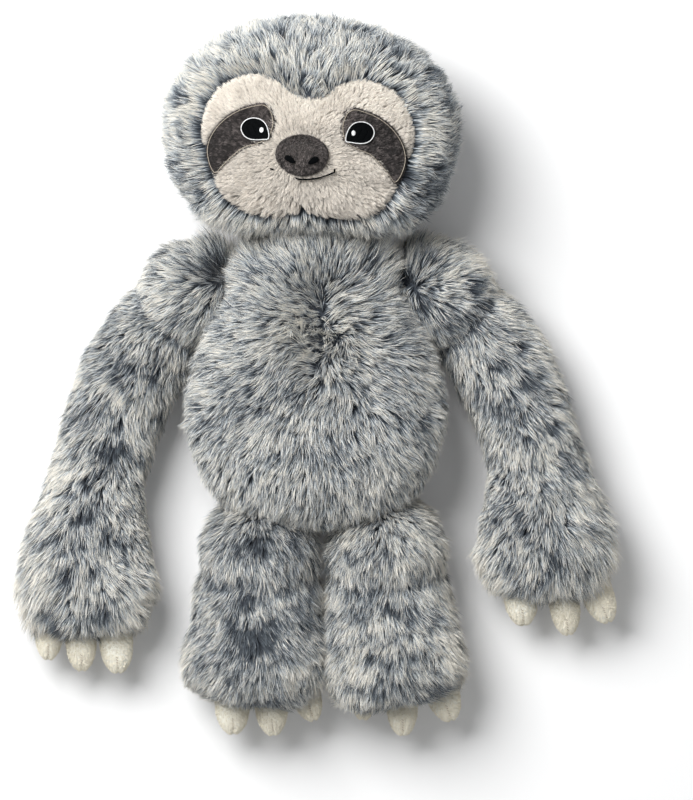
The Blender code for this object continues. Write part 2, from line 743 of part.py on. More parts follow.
def build_torso(joint):
    outer = torso_bag(0)
    shell = carve(copied(outer, "shell"), torso_bag(PLUSH_THICKNESS))
    stuffing = torso_bag(PLUSH_THICKNESS + FIT_GAP)
    carve(shell, floor_block())
    for limb in LIMBS.values():
        seat = seat_cutter(limb["radius"] + SEAM_GAP, limb["joint"])
        carve(shell, seat)
        carve(stuffing, seat)
    reach = TORSO_LENGTH + CUT_OVERRUN
    for word, low, high in (
        ("front", TORSO_HEIGHT + FIT_GAP / 2, TORSO_HEIGHT + TORSO_DEPTH),
        ("back", TORSO_HEIGHT - TORSO_DEPTH, TORSO_HEIGHT - FIT_GAP / 2),
    ):
        panel = copied(shell, word)
        carve(panel, block((-reach, -reach, low), (reach, reach, high)), "INTERSECT")
        finish_part(panel, f"torso_{word}_panel", "grey_plush", joint)
    finish_part(stuffing, "torso_stuffing", "stuffing", joint)


def seam_ring(centre, radius, axis, angle, name, joint):
    """The thread that sews a ball's opening to its seat, in the gap between them."""
    reach = radius + FIT_GAP + THREAD_RADIUS
    place = centre + axis * (reach * math.cos(angle))
    ring = thread_ring(reach * math.sin(angle), place, axis, name)
    finish_part(ring, name, "grey_thread", joint)


# Limbs

def claw(limb, across_share, reach_share, lean, name):
    """A stuffed pouch with a sewn groove down its middle, pointing out of the end of the limb."""
    shape = bmesh.new()
    bmesh.ops.create_uvsphere(shape, u_segments=CLAW_SIDES, v_segments=CLAW_RINGS, radius=1.0)
    bmesh.ops.rotate(shape, verts=shape.verts, matrix=Matrix.Rotation(math.pi / 2, 3, "X"))
    for vert in shape.verts:
        groove = math.exp(-((vert.co.x / CLAW_SEAM_WIDTH_SHARE) ** 2))
        vert.co.z *= 1 - CLAW_SEAM_DEPTH_SHARE * groove
        vert.co.x *= 1 + CLAW_TAPER_SHARE * vert.co.y
    halves = Vector((CLAW_WIDTH / 2, CLAW_LENGTH / 2, CLAW_DEPTH / 2))
    bmesh.ops.scale(shape, verts=shape.verts, vec=halves)
    bmesh.ops.rotate(shape, verts=shape.verts, matrix=Matrix.Rotation(math.radians(lean), 3, "Z"))
    cuff = limb["joint"] + limb["end"]
    place = Vector((
        cuff.x + across_share * CLAW_WIDTH,
        cuff.y - (reach_share - 0.5) * CLAW_LENGTH,
        limb["claw_height"],
    ))
    bmesh.ops.translate(shape, verts=shape.verts, vec=place)
    return object_from(shape, name)


def build_limb(name, limb, seam_joint, joint):
    centre, radius, axis = limb["joint"], limb["radius"], limb["seam_axis"]
    cover = limb_bag(limb, 0)
    cuff = limb_bag(limb, -FIT_GAP)
    carve(cover, limb_bag(limb, PLUSH_THICKNESS))
    carve(cover, cylinder(limb["opening_radius"], radius, centre + axis * radius, axis, "opening"))
    carve(cover, floor_block())
    finish_part(cover, f"{name}_cover", "grey_plush", joint)
    finish_part(limb_bag(limb, PLUSH_THICKNESS + FIT_GAP), f"{name}_stuffing", "stuffing", joint)
    seam_ring(centre, radius, axis, limb["seam_angle"], f"{name}_seam", seam_joint)
    for number, (across, reach, lean) in enumerate(limb["claws"], 1):
        pouch = claw(limb, across, reach, lean, "claw")
        finish_part(carve(pouch, cuff), f"{name}_claw_{number}", "claw_plush", joint)


def main():
    clear_scene()
    collection("plush_sloth")
    collection("workshop")

    back = joint_empty("back", Vector((0, 0, 0)))
    build_torso(back)

    neck_turn = joint_empty("neck_turn", NECK_CENTRE)
    neck_nod = joint_empty("neck_nod", NECK_CENTRE)
    seam_ring(NECK_CENTRE, NECK_RADIUS, Vector((0, 1, 0)), NECK_SEAM_ANGLE, "neck_seam", neck_turn)
    build_head(neck_nod)

    for name, limb in LIMBS.items():
        seam_joint = joint_empty(f"{name}_seam_joint", limb["joint"])
        joint = joint_empty(f"{name}_joint", limb["joint"])
        build_limb(name, limb, seam_joint, joint)

    for helper in list(bpy.data.collections["workshop"].objects):
        bpy.data.objects.remove(helper)


if __name__ == "__main__":
    main()
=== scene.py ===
"""A plush sloth with long frosted fur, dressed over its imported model.

It lies on its back on a pale floor, seen from straight above: +Y is towards its head, +Z is the way
its belly faces, and its own left is +X. Every stuffed part is a smooth bag, and fur is strands of
mesh that root in the bag, lean over in locks and end about where the model's cover ends.
"""

import json
import math

import bmesh
import bpy
import numpy as np
from mathutils import Matrix, Vector, noise
from mathutils.bvhtree import BVHTree
from mathutils.kdtree import KDTree


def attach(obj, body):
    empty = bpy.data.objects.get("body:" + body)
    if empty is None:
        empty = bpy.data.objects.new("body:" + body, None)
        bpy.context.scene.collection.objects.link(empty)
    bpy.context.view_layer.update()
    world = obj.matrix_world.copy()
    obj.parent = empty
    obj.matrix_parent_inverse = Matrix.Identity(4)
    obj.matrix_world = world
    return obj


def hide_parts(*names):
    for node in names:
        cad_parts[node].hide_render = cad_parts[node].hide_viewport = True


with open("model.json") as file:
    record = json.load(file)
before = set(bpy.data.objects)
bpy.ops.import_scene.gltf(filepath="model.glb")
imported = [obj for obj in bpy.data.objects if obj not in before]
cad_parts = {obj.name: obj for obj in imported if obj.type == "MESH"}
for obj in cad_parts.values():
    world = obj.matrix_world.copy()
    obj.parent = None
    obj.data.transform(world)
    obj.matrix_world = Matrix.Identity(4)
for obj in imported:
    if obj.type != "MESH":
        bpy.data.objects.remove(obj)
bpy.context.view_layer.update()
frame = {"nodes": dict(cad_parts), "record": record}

bl_info = {
    "name": "Plush sloth",
    "version": (1, 0, 0),
    "blender": (4, 5, 0),
    "location": "View3D > Sidebar > Plush Sloth",
    "description": "Sews, stuffs and combs a long-haired plush sloth",
    "category": "Add Mesh",
}

MM = 0.001

# The photo: how many pixels high it is, and how wide one of them is on the floor
PHOTO_HEIGHT, PIXEL = 800, 0.5292 * MM

# A bag: how far it swells over its stuffing, how fine its mesh is and how often that is smoothed
BAG_SWELL, BAG_VOXEL, BAG_ROUNDS = 1.0 * MM, 3.0 * MM, 4
# The form that the face lies on, which stands over the stuffing by the depth of a cover and its gap
COVER_DEPTH, FACE_FORM_VOXEL, FACE_FORM_ROUNDS = 5.3 * MM, 2.5 * MM, 6
# How far fur keeps off the floor
FLOOR_GAP = 0.25 * MM

# Places on the model
HEAD_CENTRE = Vector((-2.6, 137.0, 51.5)) * MM
HEAD_TILT = math.radians(-3)
FACE_MIDDLE = Vector((-1.6, -14.3)) * MM
FACE_HALF_WIDTH, FACE_HALF_LENGTH = 57.0 * MM, 37.0 * MM
TORSO_SEAM_HEIGHT = 42.0 * MM
WHORL = Vector((2.1, 28.0, 85.0)) * MM
NECK_PLACE, NECK_RADIUS = Vector((0.0, 58.0, 44.0)) * MM, 37.4 * MM

# The right half of the face, from the notch in the brow to the cleft in the chin, in face halves
FACE_OUTLINE = (
    (0.00, 0.74), (0.17, 0.81), (0.26, 0.93), (0.42, 1.05), (0.58, 1.06), (0.75, 0.96),
    (0.88, 0.78), (0.97, 0.51), (1.00, 0.25), (0.97, 0.02), (0.89, -0.29), (0.84, -0.47),
    (0.74, -0.69), (0.58, -0.84), (0.30, -0.91), (0.11, -0.87), (0.00, -0.82),
)
# A dark patch, from its inner top corner round by the brow to the tip on the cheek, in face halves
PATCH_OUTLINE = (
    (0.33, 0.57), (0.37, 0.64), (0.44, 0.66), (0.63, 0.57), (0.79, 0.40), (0.90, 0.17),
    (0.935, -0.06), (0.90, -0.29), (0.845, -0.40), (0.79, -0.31), (0.70, -0.16), (0.58, 0.00),
    (0.43, 0.08), (0.33, 0.20), (0.30, 0.40),
)
# An eye, from its top, by the corner beside the nose and back round by the cheek, in eye halves
EYE_OUTLINE = (
    (0.00, 1.00), (0.42, 0.86), (0.75, 0.48), (0.93, 0.00), (1.02, -0.50), (0.98, -0.86),
    (0.62, -0.92), (0.20, -0.97), (-0.30, -0.93), (-0.72, -0.66), (-0.97, -0.15), (-0.95, 0.35),
    (-0.70, 0.76), (-0.36, 0.96),
)
# On the drawing of the face: the eyes, a glint inwards of an eye's middle, the nose with its pile,
# the nostrils from the nose's middle, and the mouth, whose left corner curls up
EYE_PLACES = {-1: Vector((-27.4, 10.3)) * MM, 1: Vector((27.5, 11.2)) * MM}
EYE_HALF_WIDTH, EYE_HALF_LENGTH = 7.3 * MM, 5.8 * MM
GLINT_PLACE, GLINT_HALVES = Vector((3.6, 0.4)) * MM, Vector((1.0, 1.35)) * MM
NOSE_PLACE = Vector((-2.2, -2.2)) * MM
NOSE_HALVES = Vector((13.85, 10.85, 8.0)) * MM
NOSE_SINK = 1.9 * MM
NOSE_PILE_DEPTH, NOSE_PILE, NOSE_PILE_BELOW = Vector((0.5, 0.5, 0.3)) * MM, 1.2 * MM, 4 * MM
NOSTRIL_PLACE, NOSTRIL_HALVES = Vector((5.8, -2.3)) * MM, Vector((2.9, 1.4)) * MM
NOSTRIL_LEAN = math.radians(30)
MOUTH_MIDDLE_X, MOUTH_HALF_WIDTH = -1.6 * MM, 16.8 * MM
MOUTH_CORNER_Y, MOUTH_DROP = -9.9 * MM, 4.6 * MM
MOUTH_CURL = 1.4 * MM

# Each limb: its joint, how far its end lies from there, how its middle line bends, its seat's radius
# and the place that its fur spreads from, in millimetres, and how pale its fur is
LIMBS = {
    "right_arm": ((-65.5, 48.5, 28.0), (-56.5, -183.0), (-58.2, -47.6), 29.9, (-47.0, 57.0), 0.60),
    "left_arm": ((65.5, 48.5, 28.0), (56.5, -163.0), (58.2, -42.4), 29.9, (50.5, 53.0), 0.59),
    "right_leg": ((-29.9, -87.5, 31.0), (-5.2, -82.0), (-0.5, -41.0), 32.9, (-27.0, -45.0), 0.37),
    "left_leg": ((37.1, -87.5, 31.0), (8.0, -82.0), (0.8, -41.0), 32.9, (33.0, -45.0), 0.53),
}
# Each claw, in millimetres: its pouch's middle and half its width, and in degrees how far it leans
CLAWS = {
    "right_arm_claw_1": (-141.8, -130.0, 22.0, 7.8, -2),
    "right_arm_claw_2": (-124.9, -135.8, 22.0, 8.4, 2),
    "right_arm_claw_3": (-106.2, -137.1, 22.0, 9.2, 4),
    "left_arm_claw_1": (108.6, -111.9, 22.0, 9.5, 6),
    "left_arm_claw_2": (131.9, -117.1, 22.0, 8.2, 8),
    "left_arm_claw_3": (149.5, -111.3, 22.0, 8.8, 22),
    "right_leg_claw_1": (-44.5, -169.5, 24.0, 9.6, 2),
    "right_leg_claw_2": (-23.9, -170.1, 24.0, 9.0, 4),
    "right_leg_claw_3": (-6.0, -163.1, 24.0, 8.2, 18),
    "left_leg_claw_1": (25.9, -161.8, 24.0, 7.8, -4),
    "left_leg_claw_2": (45.6, -170.1, 24.0, 8.6, 2),
    "left_leg_claw_3": (66.9, -163.1, 24.0, 9.3, 18),
}
CLAW_HALF_LENGTH, CLAW_HALF_DEPTH = 16.0, 7.0
# The stitches down a claw's seam, in millimetres: from where to where along it, and how far apart
CLAW_STITCH_PLACES = (7.5, 13.0, 1.3)
CLAW_STITCH_LIFT, CLAW_STITCH_RADIUS = 0.5 * MM, 0.16 * MM

# Left and right are the sloth's own
SIDES = {"right": -1, "left": 1}
# The face and its patches: how deep a panel starts and ends under the head's form, its cells' width,
# and how wide its rounded edge is
FACE_PANEL = (-4.8 * MM, -2.4 * MM, 1.3 * MM, 3.0 * MM)
PATCH_PANEL = (-2.4 * MM, -0.9 * MM, 0.8 * MM, 1.4 * MM)
PATCH_STITCH_LIFT, PATCH_STITCH_RADIUS = 0.4 * MM, 0.2 * MM
# Embroidery: how high it lies over the form, how far apart its rows are, and its thread's radius
EYE_STITCH = (0.9 * MM, 0.42 * MM, 0.34 * MM)
BORDER_STITCH, BORDER_HALF = (1.15 * MM, 0.34 * MM, 0.22 * MM), 0.17 * MM
GLINT_STITCH = (1.45 * MM, 0.36 * MM, 0.26 * MM)
NOSTRIL_STITCH = (1.1 * MM, 0.40 * MM, 0.34 * MM)
LONGEST_STITCH = 3.0 * MM
MOUTH_LIFT, MOUTH_HIDDEN_DEPTH, MOUTH_THREAD_RADIUS = 0.7 * MM, 2.4 * MM, 0.48 * MM
# The rings that sew on the head and limbs: a stitch's length with its gap, how much of that is
# thread, and the thread's radius
RING_STITCH, RING_SHARE, RING_RADIUS = 3.2 * MM, 0.82, 0.4 * MM

# The floor: half its width, and how far from its middle it glows how much, as shares of white
FLOOR_HALF = 6.0
FLOOR_GLOW = ((0.30, 0.05), (1.60, 0.95))
# The room's colour, and how much of it lights the object
ROOM_COLOUR, ROOM_LIGHT = (0.97, 0.985, 1.0), 0.24
# Each lamp: where it shines from, how far off it is, its width and its power
LAMPS = {
    "key": ((-0.54, 0.57, 1.0), 1.7, 1.25, 40.0),
    "fill": ((0.5, -0.7, 0.8), 1.8, 1.6, 2.0),
}
LAMPS_AIM = Vector((16.0, -8.0, 30.0)) * MM
# The camera looks straight down over this place, through a long lens
CAMERA_OVER = Vector((16.14, -7.94, 55.0)) * MM
LENS, SENSOR = 800.0, 36.0

# What changes from lock to lock: soft waves, each how much and how wide, and how much is chance
LOCK_TURN, LOCK_TURN_CHANCE = ((0.55, 17 * MM), (0.55, 5 * MM)), 0.12
LOCK_LEAN, LOCK_LEAN_CHANCE = ((0.25, 9 * MM),), 0.07
LOCK_LENGTH, LOCK_LENGTH_CHANCE = ((0.16, 12 * MM),), 0.06
LOCK_TONE, LOCK_TONE_CHANCE = ((0.20, 12 * MM), (0.26, 4.5 * MM)), 0.11
LOCK_GATHERS = (0.3, 1.5)
# What changes from strand to strand
STRAND_TURN_CHANCE, STRAND_LEAN_CHANCE, STRAND_ROLL_CHANCE = 0.2, 0.11, 0.55
STRAND_LENGTHS, STRAND_WIDTHS = (0.66, 1.08), (0.7, 1.2)
STRAND_TONE_CHANCE = 0.33
# How a strand is drawn: its segments, the steps that bend each, the limits of its share of lean, how
# much it narrows before its tip, how far at most it goes to the middle of its lock, and how late
STRAND_SEGMENTS, BEND_STEPS = 2, 4
LEAN_LIMITS = (0.05, 1.25)
STRAND_TAPER, MOST_GATHER, GATHER_POWER = 0.35, 0.9, 1.3
# How far fur leans from upright, in degrees, at its root and at its tip
LEANS = {
    "torso": (22.0, 88.0),
    "head": (20.0, 84.0),
    "limbs": (24.0, 86.0),
    "face": (20.0, 78.0),
    "nose": (10.0, 50.0),
    "claws": (20.0, 68.0),
}
# Short pile on a piece: its strands, their width, how many a lock has and how far it gathers
PILES = {
    "face": (62000, 0.27 * MM, 26, 0.35),
    "patch": (9000, 0.34 * MM, 12, 0.6),
    "nose": (10000, 0.34 * MM, 8, 0.8),
    "claw": (7000, 0.24 * MM, 14, 0.3),
}
# Fur shorter than this is left out, as is fur so near to the seat of a limb or of the neck
LEAST_LENGTH, SEAT_MARGIN, NECK_MARGIN = 1.0 * MM, 1.6 * MM, 2.0 * MM
# How far from the whorl fur is combed loosely, is upset, stands up, isn't gathered, and is pale, and
# how far the whorl's middle wanders
WHORL_LOOSE, WHORL_UPSET, WHORL_UPRIGHT = 36 * MM, 17 * MM, 34 * MM
WHORL_UNGATHERED, WHORL_PALE, WHORL_DRIFT = 20 * MM, 16 * MM, 16 * MM
# Below this height the torso's fur droops, and this far from the torso's middle it is a little paler
TORSO_BACK_HEIGHT, TORSO_EDGE = 40 * MM, 60 * MM
# Where the torso's corners start, over what length their fur grows long, and how far aside they are
TORSO_CORNER_FROM, TORSO_CORNER_OVER, TORSO_CORNER_ASIDE = 46 * MM, 14 * MM, 24 * MM
# The seam below the chin: its highest place, how it bends, half its width and the shortest fur there
CHIN_SEAM_TOP, CHIN_SEAM_BEND = Vector((-4.0, 84.0)) * MM, 106 * MM
CHIN_SEAM_HALF, CHIN_SEAM_LENGTH = 23 * MM, 3.5 * MM
# The head's fur spreads from this place on the drawing of the face
FACE_COMB_MIDDLE, FACE_COMB_HEIGHT = Vector((-2.0, -6.0)) * MM, 95 * MM
# Below these places along the head are its jowls, its chin, and the pale fur under the chin
JOWLS_FROM, CHIN_FROM, CHIN_PALE_FROM = 104 * MM, 96 * MM, 92 * MM
# Painted light and shade on the head: how much paler it gets towards its own left, where painted shade
# makes it a little darker away from the key lamp, and towards its top, where painted light makes it paler
HEAD_LIGHT_AND_SHADE_SLOPES = (-0.08, 0.15)
# On a limb's middle line: how many points it has, how many fur takes to turn down along it, and
# which are at the wrist and before the end
LIMB_POINTS, SPREAD_POINTS, WRIST_POINT, END_POINT = 40, 18, 27, 32
# Half a limb's width, as its combing, its length of fur and its tone have it
LIMB_COMB_HALF, LIMB_HALF, LIMB_TONE_HALF = 26 * MM, 22 * MM, 24 * MM
# Fur that roots nearer to the torso than this is pressed short
PRESSED_GAP = 1.5 * MM
# The fur's patches of shade, broad and fine, and the partings that show its roots
BROAD_PATCH, FINE_PATCH, PARTING, PARTING_FROM = 22 * MM, 8 * MM, 10 * MM, 0.22


# Sizes and colours that a user would change

class FurSettings(bpy.types.PropertyGroup):
    length: bpy.props.FloatProperty(
        name="Length", description="Length of a strand on the body and limbs",
        default=12.5 * MM, min=4 * MM, max=25 * MM, subtype="DISTANCE", unit="LENGTH",
    )
    head_length: bpy.props.FloatProperty(
        name="Length on the head", description="Length of a strand on the head",
        default=11.4 * MM, min=4 * MM, max=25 * MM, subtype="DISTANCE", unit="LENGTH",
    )
    width: bpy.props.FloatProperty(
        name="Width", description="Width of a strand at its root",
        default=0.37 * MM, min=0.1 * MM, max=1.5 * MM, subtype="DISTANCE", unit="LENGTH",
    )
    lock: bpy.props.IntProperty(
        name="Lock", description="Strands that gather in one lock", default=16, min=2, max=200,
    )
    gather: bpy.props.FloatProperty(
        name="Gather", description="How far the tips of a lock come together",
        default=0.45, min=0.0, max=1.0, subtype="FACTOR",
    )
    strands: bpy.props.IntProperty(
        name="Strands", description="Strands on one large piece", default=64000, min=500, max=65000,
    )
    root_colour: bpy.props.FloatVectorProperty(
        name="Root", description="Colour of the fur at its root",
        default=(0.012, 0.016, 0.026), min=0, max=1, size=3, subtype="COLOR",
    )
    middle_colour: bpy.props.FloatVectorProperty(
        name="Middle", description="Colour of the fur half way along",
        default=(0.13, 0.155, 0.18), min=0, max=1, size=3, subtype="COLOR",
    )
    pale_colour: bpy.props.FloatVectorProperty(
        name="Frost", description="Colour of the fur where it turns pale",
        default=(0.57, 0.615, 0.645), min=0, max=1, size=3, subtype="COLOR",
    )
    tip_colour: bpy.props.FloatVectorProperty(
        name="Tip", description="Colour of the very tips",
        default=(0.90, 0.865, 0.785), min=0, max=1, size=3, subtype="COLOR",
    )


class FaceSettings(bpy.types.PropertyGroup):
    pile: bpy.props.FloatProperty(
        name="Pile", description="Length of the short pile on the face",
        default=3.6 * MM, min=1 * MM, max=10 * MM, subtype="DISTANCE", unit="LENGTH",
    )
    patch_pile: bpy.props.FloatProperty(
        name="Patch pile", description="Length of the pile on the eye patches",
        default=1.9 * MM, min=0.5 * MM, max=4 * MM, subtype="DISTANCE", unit="LENGTH",
    )
    colour: bpy.props.FloatVectorProperty(
        name="Face", description="Colour of the face's pile",
        default=(0.94, 0.87, 0.78), min=0, max=1, size=3, subtype="COLOR",
    )
    patch_colour: bpy.props.FloatVectorProperty(
        name="Eye patch", description="Colour of the eye patches' pile",
        default=(0.122, 0.104, 0.099), min=0, max=1, size=3, subtype="COLOR",
    )
    nose_colour: bpy.props.FloatVectorProperty(
        name="Nose", description="Colour of the nose's pile",
        default=(0.158, 0.136, 0.128), min=0, max=1, size=3, subtype="COLOR",
    )


class ClawSettings(bpy.types.PropertyGroup):
    colour: bpy.props.FloatVectorProperty(
        name="Claw", description="Colour of the claws' fleece",
        default=(0.95, 0.90, 0.77), min=0, max=1, size=3, subtype="COLOR",
    )
    pile: bpy.props.FloatProperty(
        name="Fleece", description="Length of the fleece on the claws",
        default=1.3 * MM, min=0.2 * MM, max=3 * MM, subtype="DISTANCE", unit="LENGTH",
    )


class StageSettings(bpy.types.PropertyGroup):
    view_height: bpy.props.FloatProperty(
        name="View height", description="How much of the floor the picture shows from top to bottom",
        default=PHOTO_HEIGHT * PIXEL, min=0.1, max=2.0, subtype="DISTANCE", unit="LENGTH",
    )
    floor_colour: bpy.props.FloatVectorProperty(
        name="Floor", description="Colour of the floor",
        default=(0.93, 0.93, 0.93), min=0, max=1, size=3, subtype="COLOR",
    )


# Materials

def material(name, colour, roughness, sheen=0.0):
    """A new material with one shader. Returns the material, its node tree and the shader."""
    made = bpy.data.materials.new(name)
    made.use_nodes = True
    tree = made.node_tree
    shader = tree.nodes["Principled BSDF"]
    shader.inputs["Base Color"].default_value = (*colour, 1.0)
    shader.inputs["Roughness"].default_value = roughness
    shader.inputs["Specular IOR Level"].default_value = 0.25
    shader.inputs["Sheen Weight"].default_value = sheen
    shader.inputs["Sheen Roughness"].default_value = 0.5
    made.diffuse_color = (*colour, 1.0)
    return made, tree, shader


def attribute_node(tree, name):
    node = tree.nodes.new("ShaderNodeAttribute")
    node.attribute_name = name
    return node.outputs["Fac"]


def arithmetic(tree, operation, *values):
    node = tree.nodes.new("ShaderNodeMath")
    node.operation = operation
    for socket, value in zip(node.inputs, values):
        if isinstance(value, (int, float)):
            socket.default_value = value
        else:
            tree.links.new(value, socket)
    return node.outputs[0]


def ramp(tree, value, stops):
    """Colours along a value: each stop is a place and a colour."""
    node = tree.nodes.new("ShaderNodeValToRGB")
    elements = node.color_ramp.elements
    while len(elements) < len(stops):
        elements.new(0.5)
    for element, (place, colour) in zip(elements, stops):
        element.position = place
        element.color = (*colour, 1.0)
    tree.links.new(value, node.inputs["Fac"])
    return node.outputs["Color"]


def seen_itself(tree):
    """1 where the camera sees a surface itself, in a gloss or through glass, and 0 where it lights."""
    path = tree.nodes.new("ShaderNodeLightPath")
    seen = arithmetic(tree, "MAXIMUM", path.outputs["Is Camera Ray"], path.outputs["Is Glossy Ray"])
    return arithmetic(tree, "MAXIMUM", seen, path.outputs["Is Transmission Ray"])


def tinted(colour, by):
    return tuple(min(max(part * by, 0.0), 1.0) for part in colour)


def between(first, second, share):
    return tuple(a + (b - a) * share for a, b in zip(first, second))


def frosted_fur(name, settings):
    """Dark roots that turn to pale tips. A strand's tone, from 0 to 1, says how pale the whole is."""
    made, tree, shader = material(name, settings.middle_colour, 0.62, 0.25)
    along = attribute_node(tree, "along")
    tone = attribute_node(tree, "tone")
    shifted = arithmetic(tree, "ADD", along, arithmetic(tree, "MULTIPLY_ADD", tone, 0.8, -0.4))
    colour = ramp(tree, shifted, (
        (0.00, settings.root_colour),
        (0.28, between(settings.root_colour, settings.middle_colour, 0.35)),
        (0.50, settings.middle_colour),
        (0.74, settings.pale_colour),
        (1.00, settings.tip_colour),
    ))
    tree.links.new(colour, shader.inputs["Base Color"])
    return made


def short_pile(name, colour, roughness, sheen, below, spread):
    """Pile of one colour, with painted shade that darkens it towards its roots. spread is how much a
    strand's tone changes it.

    below is how pale the painted shade leaves it at its root and half way up, as shares of its colour.
    """
    made, tree, shader = material(name, colour, roughness, sheen)
    along = attribute_node(tree, "along")
    tone = attribute_node(tree, "tone")
    along = arithmetic(tree, "MULTIPLY", along, 1 - spread)
    shifted = arithmetic(tree, "ADD", along, arithmetic(tree, "MULTIPLY", tone, spread))
    # Painted shade: the pile darkens from its colour towards its roots, by the shares in below
    pale = ramp(tree, shifted, (
        (0.00, tinted(colour, below[0])),
        (0.50, tinted(colour, below[1])),
        (0.80, colour),
        (1.00, tinted(colour, 1.18)),
    ))
    tree.links.new(pale, shader.inputs["Base Color"])
    return made


def pattern(tree, kind, scale):
    """A texture that stays where it is on the piece."""
    texture = tree.nodes.new(kind)
    texture.inputs["Scale"].default_value = scale
    place = tree.nodes.new("ShaderNodeTexCoord")
    tree.links.new(place.outputs["Object"], texture.inputs["Vector"])
    return texture


def bumps(tree, shader, height, strength, distance):
    bump = tree.nodes.new("ShaderNodeBump")
    bump.inputs["Strength"].default_value = strength
    bump.inputs["Distance"].default_value = distance
    tree.links.new(height, bump.inputs["Height"])
    tree.links.new(bump.outputs["Normal"], shader.inputs["Normal"])


def backing_cloth(name, colour):
    """The knitted cloth that the pile stands on."""
    made, tree, shader = material(name, colour, 0.9, 0.1)
    knit = pattern(tree, "ShaderNodeTexVoronoi", 900)
    cloud = pattern(tree, "ShaderNodeTexNoise", 60)
    mixed = ramp(tree, cloud.outputs["Fac"], ((0.3, tinted(colour, 0.8)), (0.7, tinted(colour, 1.2))))
    tree.links.new(mixed, shader.inputs["Base Color"])
    bumps(tree, shader, knit.outputs["Distance"], 0.4, 0.3 * MM)
    return made


def thread(name, colour, roughness, gloss=0.25):
    """Sewing thread, with a fine twist and slight differences from stitch to stitch."""
    made, tree, shader = material(name, colour, roughness)
    shader.inputs["Specular IOR Level"].default_value = gloss
    twist = pattern(tree, "ShaderNodeTexNoise", 1400)
    twist.inputs["Detail"].default_value = 1.0
    colours = ramp(tree, twist.outputs["Fac"], ((0.3, tinted(colour, 0.75)), (0.7, tinted(colour, 1.1))))
    tree.links.new(colours, shader.inputs["Base Color"])
    bumps(tree, shader, twist.outputs["Fac"], 0.3, 0.1 * MM)
    return made


def wear(piece, made):
    piece.data.materials.clear()
    piece.data.materials.append(made)


def fitted(piece, made, body, node=None):
    """Gives a piece its material and slot, the body that it rides and the solid that it replaces.
    """
    wear(piece, made)
    if node:
        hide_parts(node)
    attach(piece, body)
    return piece


# Shapes

def piece_from(shape, name):
    """A new piece that holds this bmesh, with its faces pointing out and shaded smooth."""
    bmesh.ops.recalc_face_normals(shape, faces=shape.faces)
    mesh = bpy.data.meshes.new(name)
    shape.to_mesh(mesh)
    shape.free()
    mesh.shade_smooth()
    made = bpy.data.objects.new(name, mesh)
    bpy.context.scene.collection.objects.link(made)
    return made


def finished(made):
    """Applies the piece's modifiers to its mesh."""
    graph = bpy.context.evaluated_depsgraph_get()
    mesh = bpy.data.meshes.new_from_object(made.evaluated_get(graph))
    made.modifiers.clear()
    made.data = mesh
    mesh.name = made.name
    mesh.shade_smooth()
    return made


def bag_from(node, name, voxel, rounds, grow):
    """A smooth closed bag from a model solid: its corners are rubbed away and it swells by a width."""
    shape = bmesh.new()
    shape.from_mesh(frame["nodes"][node].data)
    bmesh.ops.remove_doubles(shape, verts=shape.verts, dist=0.01 * MM)
    made = piece_from(shape, name)
    remesh = made.modifiers.new("even", "REMESH")
    remesh.mode = "VOXEL"
    remesh.voxel_size = voxel
    rub = made.modifiers.new("rub", "SMOOTH")
    rub.factor = 0.5
    rub.iterations = rounds
    swell = made.modifiers.new("swell", "DISPLACE")
    swell.strength = grow
    swell.mid_level = 0.0
    return finished(made)


def tree_of(piece):
    return BVHTree.FromPolygons(
        [vert.co for vert in piece.data.vertices],
        [tuple(face.vertices) for face in piece.data.polygons],
    )


def head_form():
    """The smooth form that the face lies on, for points to be dropped on."""
    form = bag_from("head_stuffing", "head_form", FACE_FORM_VOXEL, FACE_FORM_ROUNDS, COVER_DEPTH)
    tree = tree_of(form)
    bpy.data.objects.remove(form)
    return tree


def on_head(x, y):
    """A place on the flat drawing of the face, turned with the head."""
    place = Matrix.Rotation(HEAD_TILT, 3, "Z") @ Vector((FACE_MIDDLE.x + x, FACE_MIDDLE.y + y, 0))
    return HEAD_CENTRE.x + place.x, HEAD_CENTRE.y + place.y


def on_drawing(places):
    """Where places on the head lie on the flat drawing of the face."""
    turn = np.array(Matrix.Rotation(-HEAD_TILT, 2))
    return (places[:, :2] - np.array(HEAD_CENTRE)[:2]) @ turn.T - np.array(FACE_MIDDLE)


def dropped(tree, x, y):
    """Where a point above (x, y) falls onto a form, and the form's normal there."""
    place, normal, _, _ = tree.ray_cast(Vector((x, y, 0.5)), Vector((0, 0, -1)))
    return place, normal


def rounded(points, steps):
    """A closed smooth line through the points, with so many steps from each to the next."""
    made = []
    count = len(points)
    for k in range(count):
        a, b, c, d = (np.array(points[(k + step) % count], float) for step in (-1, 0, 1, 2))
        for step in range(steps):
            t = step / steps
            made.append(0.5 * (
                2 * b + (c - a) * t + (2 * a - 5 * b + 4 * c - d) * t**2 + (3 * b - a - 3 * c + d) * t**3
            ))
    return np.array(made)


def mirrored_face():
    right = [(x * FACE_HALF_WIDTH, y * FACE_HALF_LENGTH) for x, y in FACE_OUTLINE]
    return rounded(right + [(-x, y) for x, y in reversed(right[1:-1])], 4)


def lifted(tree, point, lift):
    """A point of the drawing of the face, so high over a form that lies there."""
    place, normal = dropped(tree, *on_head(*point))
    return place + normal * lift


def shrunk(outline, share):
    """An outline that shrinks towards its middle."""
    middle = outline.mean(0)
    return middle + (outline - middle) * share


def oval(middle, halves, points):
    return np.array([
        middle + Vector((halves.x * math.cos(turn), halves.y * math.sin(turn)))
        for turn in np.linspace(0, math.tau, points, endpoint=False)
    ])


def inside(outline, places):
    """Which places lie inside a closed outline."""
    x, y = places[:, 0], places[:, 1]
    found = np.zeros(len(places), bool)
    for (x1, y1), (x2, y2) in zip(outline, np.roll(outline, -1, 0)):
        crosses = (y1 > y) != (y2 > y)
        with np.errstate(divide="ignore", invalid="ignore"):
            found ^= crosses & (x < (x2 - x1) * (y - y1) / (y2 - y1) + x1)
    return found


